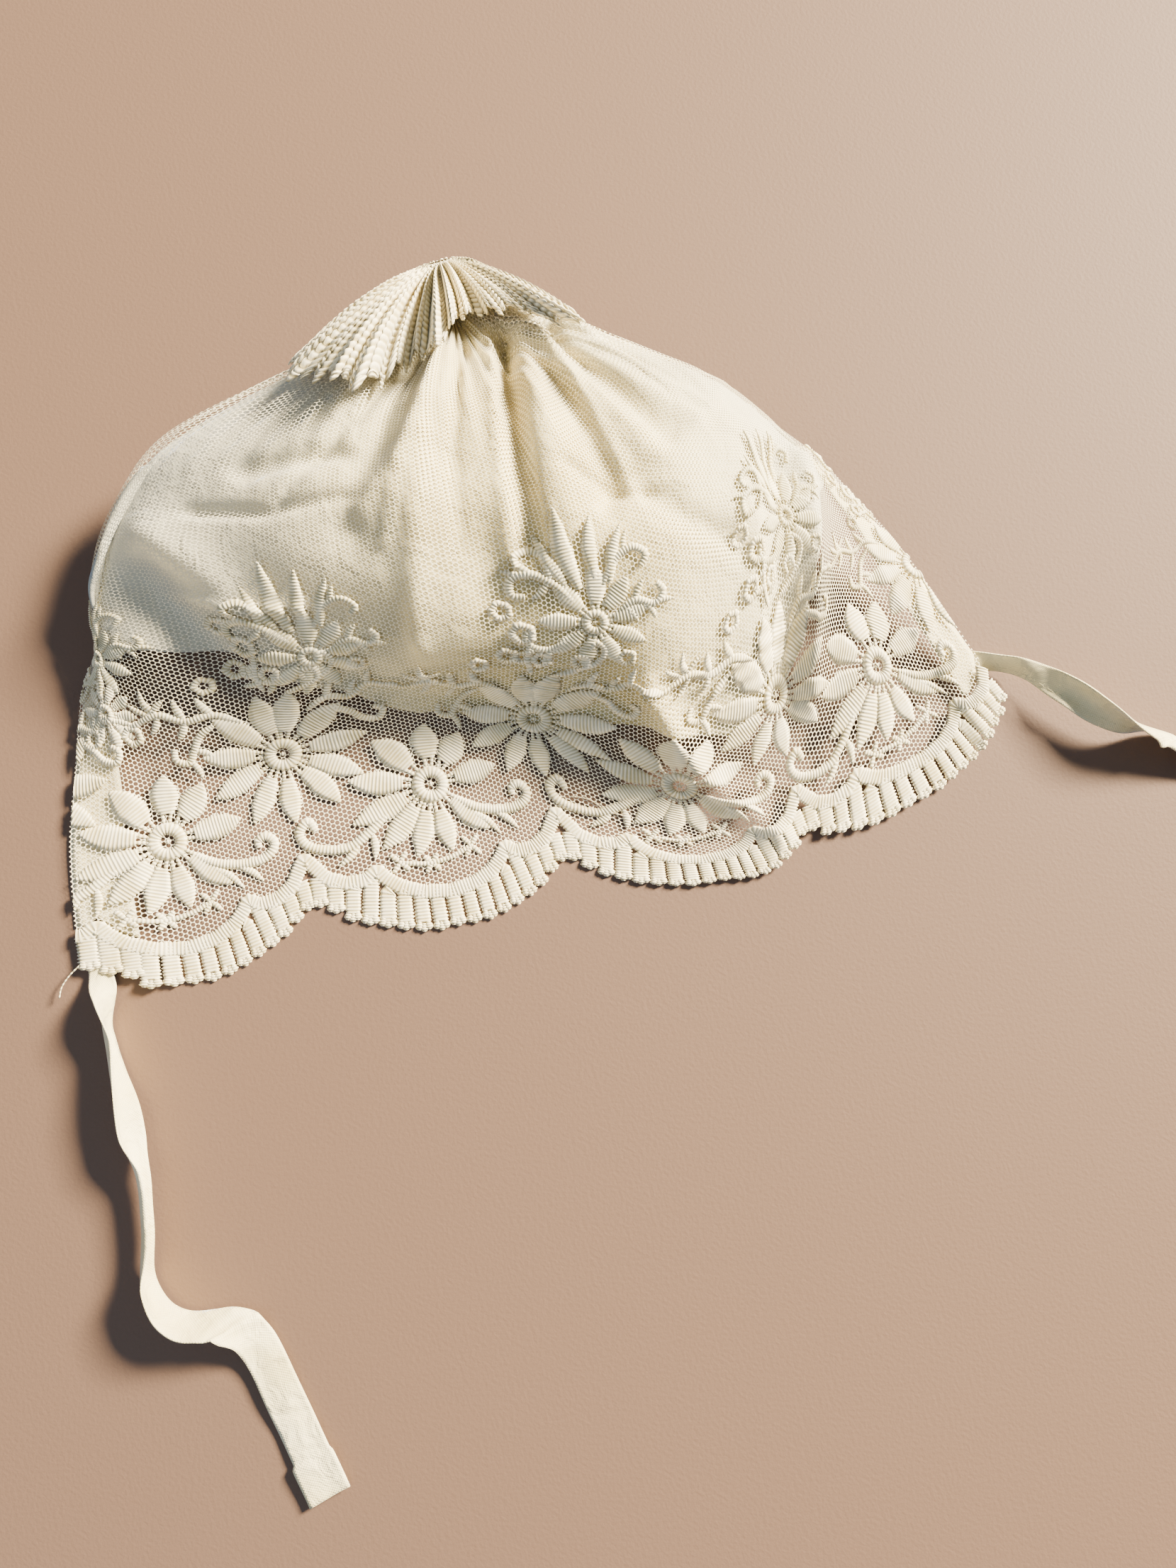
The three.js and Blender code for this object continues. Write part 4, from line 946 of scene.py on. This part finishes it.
def heightsOfCrown():
    step, high = ruffle["sample"], panel["height"]
    acrosses = np.arange(panel["seamTrim"], panelEnd, step)
    u, v = np.meshgrid(acrosses, np.arange(ruffle["crownFrom"] * high, high, step))
    places = clothPoint(np.stack([u.ravel(), v.ravel(), np.full(u.size, 0.5)], 1))
    low = places[:, :2].min(axis=0) - ruffle["margin"]
    size = np.ceil((places[:, :2].max(axis=0) + ruffle["beyond"] - low) / ruffle["cell"]).astype(int)
    heights = np.zeros(size)
    cells = np.rint((places[:, :2] - low) / ruffle["cell"]).astype(int)
    np.maximum.at(heights, (cells[:, 0], cells[:, 1]), places[:, 2])
    for _ in range(2):  # each cell takes the highest of itself and its four neighbours
        padded = np.pad(heights, 1)
        near = [padded[:-2, 1:-1], padded[2:, 1:-1], padded[1:-1, :-2], padded[1:-1, 2:]]
        heights = np.max([padded[1:-1, 1:-1]] + near, axis=0)

    def clothTop(x, y):
        i = np.clip(np.rint((x - low[0]) / ruffle["cell"]).astype(int), 0, size[0] - 1)
        j = np.clip(np.rint((y - low[1]) / ruffle["cell"]).astype(int), 0, size[1] - 1)
        return heights[i, j]

    return clothTop


def rosetteForm():
    clothTop = heightsOfCrown()
    middle = np.array([ruffle["middle"] * halfSpan, panel["layDepth"] + ruffle["setBack"]])
    table = np.array(rosetteEdge)
    edge = table[:, :2] * [halfSpan, panel["layDepth"]]
    above = ruffle["clearance"] + ruffle["wall"] / 2
    seat = clothTop(edge[:, 0], edge[:, 1]) + above + table[:, 2] * panel["crownHeight"]
    heights = np.maximum(seat, table[:, 3] * panel["crownHeight"])
    line, length = smoothLine(np.column_stack([edge, heights]), 0.6, True)
    stops = np.linspace(0, length, len(line))
    peak = max(float(clothTop(middle[:1], middle[1:])[0]) + 1, ruffle["peak"] * panel["crownHeight"])

    def form(flat):
        share = flat[:, 1] / ruffle["stripWidth"]
        phase = 2 * math.pi * flat[:, 0] / length
        along = flat[:, 0] + ruffle["swirl"] * share * (1 - share) * np.sin(3 * phase + 1)
        out = np.stack([np.interp(along % length, stops, line[:, k]) for k in range(3)], 1)
        way = out[:, :2] - middle
        way /= np.linalg.norm(way, axis=1)[:, None]
        inner = np.column_stack([middle + way * [ruffle["slit"], ruffle["hole"]], np.full(len(out), peak)])
        ragged = 1 + ruffle["ragged"] * share ** 3 * (np.sin(9 * phase) + np.sin(31 * phase))
        place = inner + (out - inner) * (share * ragged)[:, None]
        front = np.exp(-(((flat[:, 0] / length) % 1 - ruffle["lobesAt"]) / ruffle["lobesWide"]) ** 2)
        lobes = ruffle["lobeRise"] * (0.15 + 0.85 * front) * np.sin(ruffle["lobes"] * phase)
        waves = ruffle["waveRise"] * np.sin(ruffle["waves"] * phase + 1.3 * np.sin(2 * phase) + 0.8)
        back = smoothStep(0.5 + way[:, 1])
        place[:, 2] += ruffle["puff"] * (1 - (1 - ruffle["backPuff"]) * back) * 4 * share * (1 - share)
        settled = clothTop(place[:, 0], place[:, 1]) + above
        place[:, 2] = np.maximum(place[:, 2], settled)
        place[:, 2] += (lobes + waves) * smoothStep(share * 3) + flat[:, 2] * (0.6 + 0.4 * share)
        return place

    return form, length


def addRosette():
    form, length = rosetteForm()
    width = ruffle["stripWidth"]
    bm = bmesh.new()
    addCloth(bm, (0, 0), (length, width - 2.4), 1.0, 0)
    sheetPiece = laid("rosette_ruffle", bm, form, lawn, node="rosette")
    bm = bmesh.new()
    pitch = length / ruffle["ribs"]
    half = 0.52 * pitch
    for rib in range(ruffle["ribs"]):
        at = (rib + 0.5) * pitch
        start = width * (ruffle["ribsFrom"] + 0.04 * math.sin(2.3 * rib))
        puff = 0.95 + 0.3 * math.sin(1.7 * rib)
        addStroke(bm, [(at, start), (at, (start + width) / 2), (at, width - 1.2)],
                  [(0, half * 0.85), (0.3, half), (1, half * 0.9)], puff, 0.85, 4, ridge=0.5)
        picot = 1.2 + 0.3 * math.sin(1.9 * rib)
        addStroke(bm, [(at, width - 2.4), (at, width + 0.6 * (rib % 2))],
                  [(0, 0.6), (0.55, picot), (1, 0.5)], 1.1, 0.45, 3)
    ribsPiece = laid("rosette_edging", bm, form, satin, 0.3, "rosette")
    return sheetPiece, ribsPiece, length


rosettePiece, rosetteEdging, rosetteLength = addRosette()
print("rosette gathered")


# A plain board as the floor and studio light, with the key from the right
studio = {"floor": "#6B5342", "reach": 3.0, "sky": "#D3E2FA", "skyPower": 0.34, "aim": (0, 0.03, 0)}
lamps = [  # name, place, power, size, colour
    ("key", (2.6, 0.9, 1.45), 1040, 0.75, "#FFF0D4"),
    ("fill", (-0.7, -0.3, 0.7), 3.5, 0.8, studio["sky"]),
]


def addStudio():
    material, tree = newMaterial("mattPaintedBoard")
    grain = addNoise(tree, 900.0, 2.0)
    bump = addNode(tree, "ShaderNodeBump", {"Height": grain, "Strength": 0.3, "Distance": 0.0003})
    addSurface(tree, {
        "Base Color": colour(studio["floor"]), "Roughness": 0.7, "Normal": bump.outputs[0]})
    bm = bmesh.new()
    bmesh.ops.create_grid(bm, x_segments=1, y_segments=1, size=studio["reach"] / 2)
    mesh = bpy.data.meshes.new("floor")
    bm.to_mesh(mesh)
    bm.free()
    mesh.materials.append(material)
    floor = bpy.data.objects.new("floor", mesh)
    bpy.context.scene.collection.objects.link(floor)
    for name, place, power, size, tint in lamps:
        light = bpy.data.lights.new(name, "AREA")
        light.energy = power
        light.size = size
        light.color = colour(tint)[:3]
        lamp = bpy.data.objects.new(name, light)
        lamp.location = place
        lamp.rotation_euler = (Vector(studio["aim"]) - Vector(place)).to_track_quat("-Z", "Y").to_euler()
        bpy.context.scene.collection.objects.link(lamp)
    world = bpy.data.worlds.new("studio")
    bpy.context.scene.world = world
    world.use_nodes = True
    sky = world.node_tree.nodes["Background"].inputs
    sky["Color"].default_value = colour(studio["sky"])
    sky["Strength"].default_value = studio["skyPower"]


addStudio()
print("studio lit")
